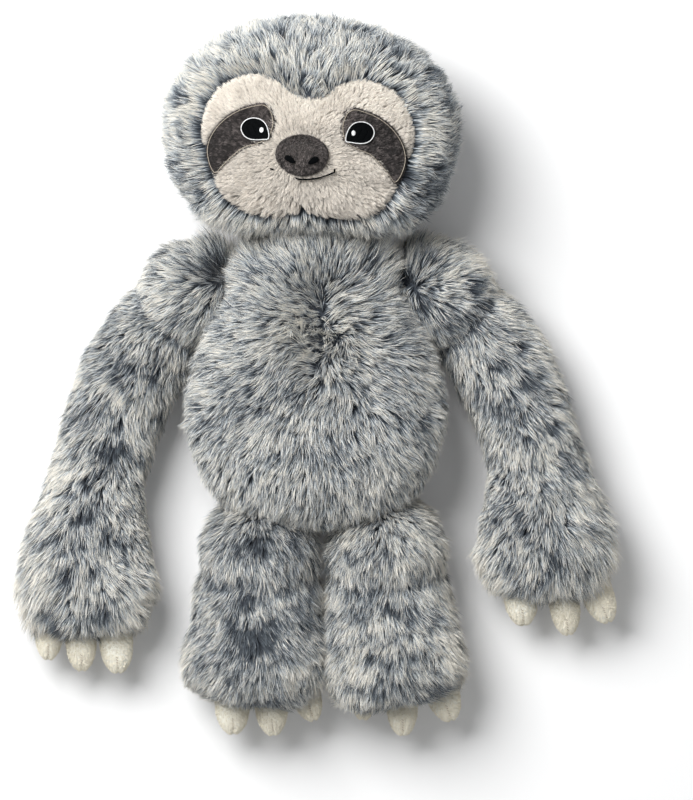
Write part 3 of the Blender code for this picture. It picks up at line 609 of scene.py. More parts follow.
def nearest_on(outline, place):
    """The nearest point of a closed outline, and how far it is."""
    start, end = outline, np.roll(outline, -1, 0)
    along = end - start
    share = ((place - start) * along).sum(1) / np.maximum((along * along).sum(1), 1e-18)
    near = start + along * share.clip(0, 1)[:, None]
    gaps = np.hypot(*(near - place).T)
    best = gaps.argmin()
    return near[best], gaps[best]


def head_panel(name, outline, tree, low, high, cell, crown):
    """A soft panel on the head inside an outline, from low to high over its form.

    It is a grid of cells, and its edge is rounded off over the width of the crown.
    """
    shape = bmesh.new()
    corner, far = outline.min(0), outline.max(0)
    size = far - corner
    bmesh.ops.create_grid(
        shape, x_segments=max(int(size[0] / cell), 2), y_segments=max(int(size[1] / cell), 2), size=0.5,
    )
    bmesh.ops.scale(shape, verts=shape.verts, vec=(size[0], size[1], 1))
    bmesh.ops.translate(shape, verts=shape.verts, vec=(*((corner + far) / 2), 0))
    verts = list(shape.verts)
    kept = inside(outline, np.array([vert.co.xy for vert in verts]))
    bmesh.ops.delete(shape, geom=[v for v, keep in zip(verts, kept) if not keep], context="VERTS")
    ragged = [face for face in shape.faces if sum(edge.is_boundary for edge in face.edges) > 2]
    bmesh.ops.delete(shape, geom=ragged, context="FACES")
    for vert in shape.verts:
        if vert.is_boundary:
            vert.co.xy = nearest_on(outline, np.array(vert.co.xy))[0]
    sheet = list(shape.faces)
    raised = bmesh.ops.extrude_face_region(shape, geom=sheet)["geom"]
    top = {part for part in raised if isinstance(part, bmesh.types.BMVert)}
    for vert in shape.verts:
        depth = nearest_on(outline, np.array(vert.co.xy))[1]
        share = min(depth / crown, 1.0)
        swell = math.sqrt(1 - (1 - share) ** 2)
        place, normal = dropped(tree, *on_head(vert.co.x, vert.co.y))
        middle = (low + high) / 2
        height = middle + ((high if vert in top else low) - middle) * swell
        vert.co = place + normal * height
    return piece_from(shape, name)


# Strands

def blade(segments):
    """The corners and faces of one flat strand, one wide and one long, that ends in a point."""
    shape = bmesh.new()
    bmesh.ops.create_grid(shape, x_segments=1, y_segments=segments, size=0.5)
    bmesh.ops.translate(shape, verts=shape.verts, vec=(0, 0.5, 0))
    tips = [vert for vert in shape.verts if vert.co.y > 0.99]
    bmesh.ops.pointmerge(shape, verts=tips, merge_co=(0, 1, 0))
    shape.verts.index_update()
    corners = np.array([vert.co.xy for vert in shape.verts])
    faces = [[vert.index for vert in face.verts] for face in shape.faces]
    shape.free()
    return corners, faces


def unit(rows):
    return rows / np.maximum(np.linalg.norm(rows, axis=-1, keepdims=True), 1e-12)


def roots_on(piece, count, rng, weight=None):
    """Random places spread evenly over a piece, or by a weight of place and normal, and the normals."""
    mesh = piece.data
    mesh.calc_loop_triangles()
    corners = np.empty(len(mesh.loop_triangles) * 3, np.int32)
    mesh.loop_triangles.foreach_get("vertices", corners)
    corners = corners.reshape(-1, 3)
    places = np.empty(len(mesh.vertices) * 3)
    mesh.vertices.foreach_get("co", places)
    normals = np.empty(len(mesh.vertices) * 3)
    mesh.vertex_normals.foreach_get("vector", normals)
    places, normals = places.reshape(-1, 3)[corners], normals.reshape(-1, 3)[corners]
    share = np.linalg.norm(np.cross(places[:, 1] - places[:, 0], places[:, 2] - places[:, 0]), axis=1)
    if weight is not None:
        share = share * weight(places.mean(1), unit(normals.mean(1)))
    total = np.cumsum(share)
    picks = np.searchsorted(total, (np.arange(count) + rng.random(count)) / count * total[-1])
    picks = picks.clip(0, len(share) - 1)
    a, b = np.sqrt(rng.random(count)), rng.random(count)
    parts = np.stack([1 - a, a * (1 - b), a * b], 1)[:, :, None]
    return (places[picks] * parts).sum(1), unit((normals[picks] * parts).sum(1))


def smooth_noise(places, scale, seed):
    """Soft noise from -1 to 1 at each place, its patches about scale wide."""
    shift = Vector((seed * 7.3, seed * 3.1, seed * 5.7))
    return np.array([noise.noise(Vector(place) / scale + shift) for place in places])


def waves(places, parts, seed):
    """The sum of several soft noises. Each is how much and how wide."""
    return sum(much * smooth_noise(places, wide, seed + k) for k, (much, wide) in enumerate(parts))


def flat_waves(places, scale, seed):
    """Soft noise along X and along Y, and none upwards."""
    x, y = smooth_noise(places, scale, seed), smooth_noise(places, scale, seed + 1)
    return np.stack([x, y, np.zeros(len(places))], 1)


def flat_distance(places, centre):
    return np.linalg.norm((places - centre)[:, :2], axis=1)


def turned(rows, axes, angles):
    """Rows turned about unit axes by angles."""
    cos, sin = np.cos(angles)[:, None], np.sin(angles)[:, None]
    along = (rows * axes).sum(1, keepdims=True)
    return rows * cos + np.cross(axes, rows) * sin + axes * along * (1 - cos)


def combed(
    name, roots, normals, comb, length, width, lock, gather, lean, tone, seed,
    scatter=STRAND_TONE_CHANCE,
):
    """A piece of fur. Strands rise from their roots, lean over along comb and gather in locks.

    comb gives a direction at each place, lean the angles from upright at the root and at the tip, in
    degrees, and a share of lean at each place. lock is how many strands a lock has. length, gather
    and tone may differ from root to root, and scatter is how much tone differs between neighbours.
    """
    rng = np.random.default_rng(seed)
    count = len(roots)
    # Each strand joins the nearest of a scatter of lock middles
    middles = rng.choice(count, max(count // lock, 1), replace=False)
    finder = KDTree(len(middles))
    for k, root in enumerate(roots[middles]):
        finder.insert(root, k)
    finder.balance()
    mine = np.array([finder.find(root)[1] for root in roots])
    at, up = roots[middles], normals[middles]
    flow = unit(comb(at, up) - (comb(at, up) * up).sum(1, keepdims=True) * up)
    turn = waves(at, LOCK_TURN, seed) + rng.normal(0, LOCK_TURN_CHANCE, len(at))
    flow = turned(flow, up, turn)
    low, high, share = lean(at, up)
    share = share * (1 + waves(at, LOCK_LEAN, seed + 2)) + rng.normal(0, LOCK_LEAN_CHANCE, len(at))
    stretch = 1 + waves(at, LOCK_LENGTH, seed + 3) + rng.normal(0, LOCK_LENGTH_CHANCE, len(at))
    lock_tone = waves(at, LOCK_TONE, seed + 4) + rng.normal(0, LOCK_TONE_CHANCE, len(at))
    lock_gather = np.broadcast_to(gather, count)[middles] * rng.uniform(*LOCK_GATHERS, len(at))

    # A strand differs a little from its lock
    own_flow = flow[mine] + rng.normal(0, STRAND_TURN_CHANCE, (count, 3))
    own_flow = unit(own_flow - (own_flow * normals).sum(1, keepdims=True) * normals)
    own_share = (share[mine] + rng.normal(0, STRAND_LEAN_CHANCE, count)).clip(*LEAN_LIMITS)
    own_length = length * stretch[mine] * rng.uniform(*STRAND_LENGTHS, count)
    own_tone = (tone + lock_tone[mine] + rng.normal(0, scatter, count)).clip(0.0, 1.0)

    corners, faces = blade(STRAND_SEGMENTS)
    steps = np.linspace(0, 1, STRAND_SEGMENTS + 1)

    def lines(start, up, flow, share, length):
        """Points along each strand at the end of each segment."""
        points = [start]
        place = start
        bends = STRAND_SEGMENTS * BEND_STEPS
        for k in range(bends):
            angle = np.radians(low + (high - low) * (k + 0.5) / bends) * share
            step = up * np.cos(angle)[:, None] + flow * np.sin(angle)[:, None]
            place = place + step * (length / bends)[:, None]
            if (k + 1) % BEND_STEPS == 0:
                points.append(place)
        return np.stack(points, 1)

    # The tips of a lock's strands go to a line from its middle, as long as they are on average
    members = np.maximum(np.bincount(mine, minlength=len(middles)), 1)
    lock_length = np.bincount(mine, own_length, len(middles)) / members
    guide = lines(at, up, flow, share.clip(*LEAN_LIMITS), lock_length)
    line = lines(roots, normals, own_flow, own_share, own_length)
    pull = (lock_gather[mine, None] * steps**GATHER_POWER).clip(0, MOST_GATHER)[:, :, None]
    line = line * (1 - pull) + guide[mine] * pull
    line[:, :, 2] = np.maximum(line[:, :, 2], FLOOR_GAP)

    # Each strand's blade is laid along its line, rolled a little at random
    ahead = unit(np.gradient(line, axis=1))
    side = unit(np.cross(ahead, normals[:, None, :]))
    roll = rng.normal(0, STRAND_ROLL_CHANCE, count)[:, None, None]
    side = side * np.cos(roll) + np.cross(ahead, side) * np.sin(roll)
    row = np.rint(corners[:, 1] * STRAND_SEGMENTS).astype(int)
    taper = 1 - STRAND_TAPER * steps
    broad = (width * rng.uniform(*STRAND_WIDTHS, count))[:, None, None]
    places = line[:, row] + side[:, row] * (corners[:, 0] * taper[row])[None, :, None] * broad
    places[:, :, 2] = np.maximum(places[:, :, 2], FLOOR_GAP)
    made = strands_mesh(name, places, corners, faces, own_tone)
    bpy.context.scene.collection.objects.link(made)
    return made


def strands_mesh(name, places, corners, faces, tone):
    """A piece with one blade for each row of places, and what its material reads at each corner."""
    count, per = places.shape[:2]
    mesh = bpy.data.meshes.new(name)
    mesh.vertices.add(count * per)
    mesh.vertices.foreach_set("co", places.astype(np.float32).ravel())
    order = np.concatenate([np.array(face) for face in faces])
    sizes = np.array([len(face) for face in faces])
    loops = (np.arange(count)[:, None] * per + order[None, :]).ravel()
    mesh.loops.add(len(loops))
    mesh.loops.foreach_set("vertex_index", loops.astype(np.int32))
    all_sizes = np.tile(sizes, count)
    starts = np.concatenate([[0], np.cumsum(all_sizes)[:-1]])
    mesh.polygons.add(len(starts))
    mesh.polygons.foreach_set("loop_start", starts.astype(np.int32))
    mesh.update(calc_edges=True)
    mesh.shade_smooth()

    along, tones = np.tile(corners[:, 1], count), np.repeat(tone, per)
    for word, values in (("along", along), ("tone", tones)):
        read = mesh.attributes.new(word, "FLOAT", "POINT")
        read.data.foreach_set("value", values.astype(np.float32))
    # The map lays every strand on one swatch: tone across, root to tip upwards
    across = 0.98 * tones + 0.02 * (np.tile(corners[:, 0], count) + 0.5)
    swatch = 0.01 + 0.98 * np.stack([across, along], 1)[loops]
    swatches = mesh.uv_layers.new(name="OFBake", do_init=False)
    swatches.uv.foreach_set("vector", swatch.astype(np.float32).ravel())
    return bpy.data.objects.new(name, mesh)


def stitches(name, segments, radius):
    """Short stitches of thread, each drawn from one point to another and round at both ends."""
    shape = bmesh.new()
    for start, end in segments:
        start, end = Vector(start), Vector(end)
        along = end - start
        made = bmesh.ops.create_uvsphere(shape, u_segments=7, v_segments=6, radius=1.0)["verts"]
        for vert in made:
            vert.co.z = math.copysign(abs(vert.co.z) ** 0.45, vert.co.z)
        bmesh.ops.scale(shape, verts=made, vec=(radius, radius, along.length / 2 + radius * 0.4))
        turn = Vector((0, 0, 1)).rotation_difference(along).to_matrix()
        bmesh.ops.rotate(shape, verts=made, matrix=turn)
        bmesh.ops.translate(shape, verts=made, vec=(start + end) / 2)
    return piece_from(shape, name)


def seam_ring(node):
    """A ring of stitches where the model's ring of thread runs."""
    mesh = frame["nodes"][node].data
    places = np.empty(len(mesh.vertices) * 3)
    mesh.vertices.foreach_get("co", places)
    places = places.reshape(-1, 3)
    centre = (places.min(0) + places.max(0)) / 2
    spread = np.linalg.svd(places - centre, full_matrices=False)[2]
    across, upwards = spread[0], spread[1]
    radius = np.median(np.linalg.norm(places - centre, axis=1))
    count = max(int(math.tau * radius / RING_STITCH), 8)
    segments = [
        [
            centre + radius * (across * math.cos(turn) + upwards * math.sin(turn))
            for turn in (math.tau * k / count, math.tau * (k + RING_SHARE) / count)
        ]
        for k in range(count)
    ]
    return stitches(f"{node}_thread", segments, RING_RADIUS)


# Fur on each part

def mottling(places, seed, pale, depth, parted):
    """How pale the fur is at each place: soft patches, with small dark partings that show its roots."""
    broad, fine = smooth_noise(places, BROAD_PATCH, seed), smooth_noise(places, FINE_PATCH, seed + 40)
    parting = smooth_noise(places, PARTING, seed + 80)
    parting = ((parting - PARTING_FROM) / PARTING_FROM).clip(0, 1)
    return pale + depth * (0.55 * broad + 0.65 * fine) - parted * parting


def leaning(part):
    """Fur that leans by all of its part's angles, wherever it is."""
    return lambda at, up: (*LEANS[part], np.ones(len(at)))


def body_fur(
    name, bag, settings, comb, lean, length, tone, seed, count, weight,
    gather=lambda places: 1.0, scatter=STRAND_TONE_CHANCE,
):
    """Long fur on a stuffed part. length and tone are functions of places and normals."""
    roots, normals = roots_on(bag, count, np.random.default_rng(seed), weight)
    grown = length(roots, normals)
    kept = grown > LEAST_LENGTH
    roots, normals, grown = roots[kept], normals[kept], grown[kept]
    return combed(
        name, roots, normals, comb, grown, settings.width, settings.lock,
        settings.gather * gather(roots), lean, tone(roots, normals), seed, scatter,
    )


def stuffed(node, body):
    """The stuffing of a part, as a smooth padded bag that fur can root in."""
    bag = bag_from(node, f"{node}_bag", BAG_VOXEL, BAG_ROUNDS, BAG_SWELL)
    # Its cloth is painted dark, as shade that shows between the strands
    return fitted(bag, bpy.data.materials["fur_backing_shade"], body, node)


# The stage

def lay_floor(colour):
    """Pale paper that keeps its shadows near the object, and turns to a white ground far from it."""
    shape = bmesh.new()
    bmesh.ops.create_grid(shape, x_segments=1, y_segments=1, size=FLOOR_HALF)
    floor = piece_from(shape, "floor")
    if floor.data.polygons[0].normal.z < 0:
        floor.data.flip_normals()
    made, tree, shader = material("floor_paper", colour, 0.9)
    place = tree.nodes.new("ShaderNodeTexCoord")
    away = tree.nodes.new("ShaderNodeVectorMath")
    away.operation = "LENGTH"
    tree.links.new(place.outputs["Object"], away.inputs[0])
    glow = tree.nodes.new("ShaderNodeMapRange")
    for end, (distance, strength) in zip(("Min", "Max"), FLOOR_GLOW):
        glow.inputs[f"From {end}"].default_value = distance
        glow.inputs[f"To {end}"].default_value = strength
    tree.links.new(away.outputs["Value"], glow.inputs["Value"])
    seen = arithmetic(tree, "MULTIPLY", seen_itself(tree), glow.outputs["Result"])
    tree.links.new(seen, shader.inputs["Emission Strength"])
    shader.inputs["Emission Color"].default_value = (1, 1, 1, 1)
    wear(floor, made)


def light_room(scene):
    """The camera and glossy surfaces see a white room, which lights the object more softly."""
    world = bpy.data.worlds.new("studio")
    world.use_nodes = True
    tree = world.node_tree
    room = tree.nodes["Background"]
    room.inputs["Color"].default_value = (*ROOM_COLOUR, 1.0)
    strength = arithmetic(tree, "MULTIPLY_ADD", seen_itself(tree), 1 - ROOM_LIGHT, ROOM_LIGHT)
    tree.links.new(strength, room.inputs["Strength"])
    scene.world = world


def hang_lamps(scene):
    for name, (direction, distance, size, power) in LAMPS.items():
        data = bpy.data.lights.new(name, "AREA")
        data.shape = "DISK"
        data.size = size
        data.energy = power
        lamp = bpy.data.objects.new(name, data)
        scene.collection.objects.link(lamp)
        direction = Vector(direction).normalized()
        lamp.location = LAMPS_AIM + direction * distance
        lamp.rotation_mode = "QUATERNION"
        lamp.rotation_quaternion = direction.to_track_quat("Z", "Y")


def hang_camera(scene, view_height):
    """A camera that looks straight down, so far up that the picture shows that much of the floor."""
    data = bpy.data.cameras.new("camera")
    data.lens = LENS
    data.sensor_width = SENSOR
    data.clip_start, data.clip_end = 0.1, 50.0
    camera = bpy.data.objects.new("camera", data)
    scene.collection.objects.link(camera)
    camera.location = CAMERA_OVER + Vector((0, 0, view_height * LENS / SENSOR))
    scene.camera = camera


class PLUSHSLOTH_OT_stage(bpy.types.Operator):
    """Lay the floor and set up the lamps and the camera straight above"""
    bl_idname = "plush_sloth.stage"
    bl_label = "Stage"

    def execute(self, context):
        scene = context.scene
        settings = scene.plush_sloth_stage
        lay_floor(settings.floor_colour)
        light_room(scene)
        hang_lamps(scene)
        hang_camera(scene, settings.view_height)
        scene.view_settings.view_transform = "Standard"
        return {"FINISHED"}


# The pieces

def limb_distance(name, places):
    """How far places are from the seat of a limb."""
    joint, _, _, radius, *_ = LIMBS[name]
    return np.linalg.norm(places - np.array(joint) * MM, axis=1) - radius * MM


def neck_distance(places):
    return np.linalg.norm(places - np.array(NECK_PLACE), axis=1) - NECK_RADIUS


class PLUSHSLOTH_OT_torso(bpy.types.Operator):
    """Stuff the torso and comb its fur outwards from the whorl on the belly"""
    bl_idname = "plush_sloth.torso"
    bl_label = "Torso"

    def execute(self, context):
        settings = context.scene.plush_sloth_fur
        bag = stuffed("torso_stuffing", "torso")
        whorl = np.array(WHORL)

        def comb(at, up):
            """Outwards from the whorl, loosely near it, and drooping a little on the back."""
            far = flat_distance(at, whorl)[:, None]
            loose, upset = np.exp(-far / WHORL_LOOSE), np.exp(-((far / WHORL_UPSET) ** 2))
            broad, fine = flat_waves(at, 17 * MM, 91), flat_waves(at, 3 * MM, 93)
            out = at + WHORL_DRIFT * loose * broad - whorl
            out[:, 2] *= 0.35
            drooping = np.array([0, -0.25, 0]) * (at[:, 2:3] < TORSO_BACK_HEIGHT)
            return unit(out) + 1.4 * loose * broad + 2.5 * upset * fine + drooping

        def lean(at, up):
            """Nearly upright in the whorl, and flat at the sides."""
            share = 0.24 + 0.76 * (flat_distance(at, whorl) / WHORL_UPRIGHT).clip(0, 1)
            return *LEANS["torso"], np.maximum(share, (1 - up[:, 2]).clip(0, 1))

        def length(places, normals):
            """Longer at the corners below the head, and none in the seats of the limbs."""
            seat = np.minimum.reduce([limb_distance(name, places) for name in LIMBS])
            high = ((places[:, 1] - TORSO_CORNER_FROM) / TORSO_CORNER_OVER).clip(0, 1)
            corner = high * (abs(places[:, 0]) > TORSO_CORNER_ASIDE)
            grown = settings.length * (1 + 0.95 * corner)
            # Fur is caught in the seam below the chin, so it ends in a line
            aside = places[:, 0] - CHIN_SEAM_TOP.x
            seam = CHIN_SEAM_TOP.y - aside**2 / CHIN_SEAM_BEND
            caught = (places[:, 2] > TORSO_SEAM_HEIGHT) & (abs(aside) < CHIN_SEAM_HALF)
            short = np.maximum((seam - places[:, 1]) / 0.8, CHIN_SEAM_LENGTH)
            grown = np.where(caught, np.minimum(grown, short), grown)
            return np.where(seat < SEAT_MARGIN, 0.0, grown)

        def gather(places):
            return 1 - 0.85 * np.exp(-((flat_distance(places, whorl) / WHORL_UNGATHERED) ** 2))

        def tone(places, normals):
            """Pale in the whorl and a little at the sides, with its partings near the whorl."""
            far = flat_distance(places, whorl)
            middle = np.exp(-((far / WHORL_PALE) ** 2)) * (places[:, 2] > TORSO_SEAM_HEIGHT)
            edge = (np.linalg.norm(places[:, :2], axis=1) / TORSO_EDGE).clip(0, 1.2) ** 3
            parted = 0.45 * np.exp(-far / WHORL_LOOSE)
            return mottling(places, 3, 0.50, 0.30, parted) + 0.55 * middle + 0.10 * edge

        for word, side, count, seed in (
            ("front", 1, settings.strands, 11), ("back", -1, settings.strands * 2 // 3, 12),
        ):
            made = body_fur(
                f"torso_{word}_fur", bag, settings, comb, lean, length, tone, seed, count,
                lambda at, up: (side * (at[:, 2] - TORSO_SEAM_HEIGHT) > 0).astype(float), gather,
            )
            fur = bpy.data.materials["frosted_fur"]
            fitted(made, fur, "torso", f"torso_{word}_panel")
        return {"FINISHED"}


class PLUSHSLOTH_OT_head(bpy.types.Operator):
    """Stuff the head and comb its fur outwards from the face"""
    bl_idname = "plush_sloth.head"
    bl_label = "Head"

    def execute(self, context):
        settings = context.scene.plush_sloth_fur
        bag = stuffed("head_stuffing", "head")
        outline = mirrored_face()
        centre = np.array(HEAD_CENTRE)
        middle = np.array([*on_head(*FACE_COMB_MIDDLE), FACE_COMB_HEIGHT])
        notch_y = FACE_OUTLINE[0][1] * FACE_HALF_LENGTH + 3 * MM
        notch = np.array([*on_head(0, notch_y), FACE_COMB_HEIGHT])

        def off_face(at, up):
            return 1.0 - (inside(outline * 0.955, on_drawing(at)) & (at[:, 2] > centre[2]))

        def from_face(places):
            """How far places lie outside the face's outline, and where they lie on its drawing."""
            drawn = on_drawing(places)
            gaps = np.array([nearest_on(outline, place)[1] for place in drawn])
            return np.where(places[:, 2] > centre[2], gaps, 1.0), drawn

        def jowls(places):
            """From 0 to 1 towards the lower corners of the head."""
            low = ((JOWLS_FROM - places[:, 1]) / (12 * MM)).clip(0, 1)
            return low * ((abs(places[:, 0] - centre[0]) - 24 * MM) / (14 * MM)).clip(0, 1)

        def comb(at, up):
            """Outwards from the face, but down in the notch of the brow and at the jowls."""
            out = at - middle
            out[:, 2] *= 0.6
            near = np.exp(-((at - notch)[:, :2] ** 2).sum(1) / (7 * MM) ** 2)
            down = (0.8 * near + 0.6 * jowls(at))[:, None] * np.array([0, -1, 0])
            return unit(out) + 0.9 * flat_waves(at, 7 * MM, 95) + down

        def lean(at, up):
            gaps, _ = from_face(at)
            return *LEANS["head"], 0.38 + 0.62 * (gaps / (11 * MM)).clip(0, 1)

        def length(places, normals):
            """Longer at the jowls, shorter at the chin, and none in the seat of the neck."""
            seat = (neck_distance(places) < NECK_MARGIN) & (places[:, 1] < 100 * MM)
            aside = places[:, 0] - centre[0]
            chin = np.exp(-((aside / (30 * MM)) ** 2)) * (places[:, 1] < CHIN_FROM)
            grown = settings.head_length * (1 + 0.25 * jowls(places) - 0.25 * chin)
            return np.where(seat, 0.0, grown)

        def tone(places, normals):
            """Pale round the face and below the chin, with painted light that makes it paler at the top,
            towards the key lamp, and painted shade that darkens its own left.
            """
            gaps, drawn = from_face(places)
            # Painted shade darkens the head's own left, away from the key lamp, and painted light makes its
            # top paler
            side, top = ((drawn / (50 * MM)).clip(-1, 1) * HEAD_LIGHT_AND_SHADE_SLOPES).T
            chin = 0.15 * (places[:, 1] < CHIN_PALE_FROM)
            near = 0.42 * np.exp(-gaps / (5.5 * MM))
            return mottling(places, 5, 0.505, 0.30, 0.35) + top + side + near + chin

        made = body_fur(
            "head_fur", bag, settings, comb, lean, length, tone, 21, settings.strands, off_face,
            gather=lambda places: 0.5, scatter=0.15,
        )
        fitted(made, bpy.data.materials["frosted_fur"], "head", "head_cover")
        return {"FINISHED"}


class PLUSHSLOTH_OT_limbs(bpy.types.Operator):
    """Stuff the arms and legs and comb their fur towards the claws"""
    bl_idname = "plush_sloth.limbs"
    bl_label = "Arms and legs"

    def execute(self, context):
        settings = context.scene.plush_sloth_fur
        torso = tree_of(bpy.data.objects["torso_stuffing_bag"])
        for number, (name, (joint, end, bend, radius, whorl, pale)) in enumerate(LIMBS.items()):
            bag = stuffed(f"{name}_stuffing", name)
            joint, end, bend, whorl = (
                np.array([*part, 0.0][:3]) * MM for part in (joint, end, bend, whorl)
            )
            is_arm = joint[1] > 0
            shares = np.linspace(0, 1, LIMB_POINTS)[:, None]
            middle = joint + 2 * shares * (1 - shares) * bend + shares**2 * end
            slopes = unit(np.gradient(middle, axis=0))

            def down_limb(places):
                """The nearest of the points along the limb's middle line."""
                across = places[:, None, :2] - middle[None, :, :2]
                return np.hypot(across[:, :, 0], across[:, :, 1]).argmin(1)

            def comb(at, up):
                """Out from the top of the limb, then down along it and out to its sides."""
                near = down_limb(at)
                out = at - middle[near]
                spread = at - whorl
                out[:, 2] = spread[:, 2] = 0
                down = (near / SPREAD_POINTS).clip(0, 1)[:, None]
                return unit(spread) * (1 - down) + (slopes[near] + 0.85 * out / LIMB_COMB_HALF) * down

            def length(places, normals):
                """Longer at the inner shoulder, the hand's outer side and the end, shorter at the wrist."""
                inner = ((abs(joint[0]) - 4 * MM - abs(places[:, 0])) / (10 * MM)).clip(0, 1)
                shoulder = ((places[:, 1] - joint[1] - 2 * MM) / (9 * MM)).clip(0, 1) * inner * is_arm
                along = down_limb(places)
                outer = (places - middle[along])[:, 0] * np.sign(joint[0]) / LIMB_HALF
                hand = ((along - WRIST_POINT) / 5).clip(0, 1) * outer.clip(0, 1) * is_arm
                wrist = np.exp(-(((along - WRIST_POINT) / 6) ** 2)) * (-outer).clip(0, 1) * is_arm
                flare = ((along - END_POINT) / 4).clip(0, 1) * abs(outer).clip(0, 1)
                made = settings.length * (1 + 0.75 * shoulder + 0.35 * hand - 0.5 * wrist + 0.2 * flare)
                # Where the limb lies against the torso, its fur is pressed short
                near = np.linalg.norm(places - joint, axis=1) < 1.4 * radius * MM
                for k in np.flatnonzero(near):
                    place, normal, _, _ = torso.find_nearest(places[k])
                    if (Vector(places[k]) - place).dot(normal) < PRESSED_GAP:
                        made[k] *= 0.3
                return made

            def tone(places, normals):
                """Paler at the limb's sides, where it has fewer partings."""
                aside = flat_distance(places, middle[down_limb(places)]) / LIMB_TONE_HALF
                patches = mottling(places, number + 7, pale, 0.60, 0.80 - 0.4 * aside)
                return patches + 0.30 * aside**2 - 0.05

            made = body_fur(
                f"{name}_fur", bag, settings, comb, leaning("limbs"), length,
                tone, 31 + number, settings.strands,
                lambda at, up: 0.62 + 0.38 * up[:, 2].clip(-0.2, 1),
            )
            fitted(made, bpy.data.materials["frosted_fur"], name, f"{name}_cover")
        return {"FINISHED"}


class PLUSHSLOTH_OT_face(bpy.types.Operator):
    """Set the short-pile face into the head, with its two dark eye patches"""
    bl_idname = "plush_sloth.face"
    bl_label = "Face"

    def execute(self, context):
        settings = context.scene.plush_sloth_face
        tree = head_form()
        outline = mirrored_face()
        nose = np.array([*on_head(*NOSE_PLACE), FACE_COMB_HEIGHT])
        patches = {
            word: rounded([(side * x * FACE_HALF_WIDTH, y * FACE_HALF_LENGTH) for x, y in PATCH_OUTLINE], 5)
            for word, side in SIDES.items()
        }

        def comb(at, up):
            """Outwards from the nose."""
            out = at - nose
            out[:, 2] *= 0.5
            return unit(out)

        def open_face(at, up):
            """Face pile grows on the upper side, but not under the patches or the nose."""
            drawn = on_drawing(at)
            from_nose = (drawn - np.array(NOSE_PLACE)) / np.array(NOSE_HALVES)[:2]
            covered = np.hypot(*from_nose.T) < 0.8
            for line in patches.values():
                covered |= inside(shrunk(line, 0.95), drawn)
            return ((up[:, 2] > 0.1) & ~covered).astype(float)

        panel = head_panel("face_panel_cloth", outline, tree, *FACE_PANEL)
        # The backing is painted darker than the pile, as shade that shows between its strands
        cloth = backing_cloth("face_backing_shade", tinted(settings.colour, 0.7))
        fitted(panel, cloth, "head", "face_panel")
        count, width, lock, gather = PILES["face"]
        roots, normals = roots_on(panel, count, np.random.default_rng(41), open_face)
        drawn = on_drawing(roots)
        chin = ((-15 * MM - drawn[:, 1]) / (14 * MM)).clip(0, 1)
        # Painted light: the pile is paler towards the brow, which faces the key lamp
        brow = ((drawn[:, 1] - 8 * MM) / (14 * MM)).clip(0, 1)
        edge = np.array([np.exp(-nearest_on(outline, place)[1] / (2 * MM)) for place in drawn])
        patchy = waves(roots, ((0.25, 14 * MM), (0.25, 5 * MM)), 44)
        pile = combed(
            "face_pile", roots, normals, comb, settings.pile * (1 + 1.3 * chin + 0.3 * edge), width, lock,
            gather + 0.4 * chin, leaning("face"), 0.33 + 0.75 * brow + patchy, 42,
        )
        beige = short_pile("face_pile", settings.colour, 0.7, 0.35, (0.25, 0.75), 0.4)
        fitted(pile, beige, "head")

        # The backing is painted darker than the pile, as shade that shows between its strands
        patch_cloth = backing_cloth("patch_backing_shade", tinted(settings.patch_colour, 0.6))
        patch_pile = short_pile("patch_pile", settings.patch_colour, 0.6, 0.15, (0.12, 0.42), 0.8)
        seam = thread("patch_thread", (0.48, 0.42, 0.34), 0.7)
        count, width, lock, gather = PILES["patch"]
        for word, side in SIDES.items():
            patch = head_panel(f"{word}_eye_patch_cloth", patches[word], tree, *PATCH_PANEL)
            fitted(patch, patch_cloth, "head", f"{word}_eye_patch")
            rng = np.random.default_rng(43 + side)
            roots, normals = roots_on(patch, count, rng, lambda at, up: (up[:, 2] > 0.0).astype(float))
            # A patch is paler beside the nose than at the cheek
            across = (side * on_drawing(roots)[:, 0] / FACE_HALF_WIDTH - 0.3) / 0.6
            pale = 0.85 - 0.95 * across.clip(0, 1) + 1.3 * smooth_noise(roots, 2.0 * MM, 46 + side)
            pile = combed(
                f"{word}_eye_patch_pile", roots, normals, comb, np.full(len(roots), settings.patch_pile),
                width, lock, gather, leaning("face"), pale, 45 + side,
            )
            fitted(pile, patch_pile, "head")
            line = [
                lifted(tree, point, PATCH_STITCH_LIFT) for point in shrunk(patches[word], 0.93)
            ]
            pairs = list(zip(line, line[1:] + line[:1]))
            made = stitches(f"{word}_eye_patch_thread", pairs, PATCH_STITCH_RADIUS)
            fitted(made, seam, "head")
        return {"FINISHED"}


def satin(name, outline, tree, stitch, slope):
    """Stitches that lie side by side inside an outline on the face, in rows at a slope."""
    lift, spacing, radius = stitch
    turn, back = Matrix.Rotation(slope, 2), Matrix.Rotation(-slope, 2)
    start = np.array([turn @ Vector(point) for point in outline])
    end = np.roll(start, -1, 0)
    segments = []
    for row in np.arange(start[:, 1].min() + spacing / 2, start[:, 1].max(), spacing):
        cut = (start[:, 1] > row) != (end[:, 1] > row)
        share = (row - start[cut, 1]) / (end[cut, 1] - start[cut, 1])
        ends = np.sort(start[cut, 0] + share * (end[cut, 0] - start[cut, 0]))
        stops = np.linspace(ends[0], ends[-1], max(int((ends[-1] - ends[0]) / LONGEST_STITCH), 1) + 1)
        line = [lifted(tree, back @ Vector((x, row)), lift) for x in stops]
        segments += list(zip(line[:-1], line[1:]))
    return stitches(name, segments, radius)


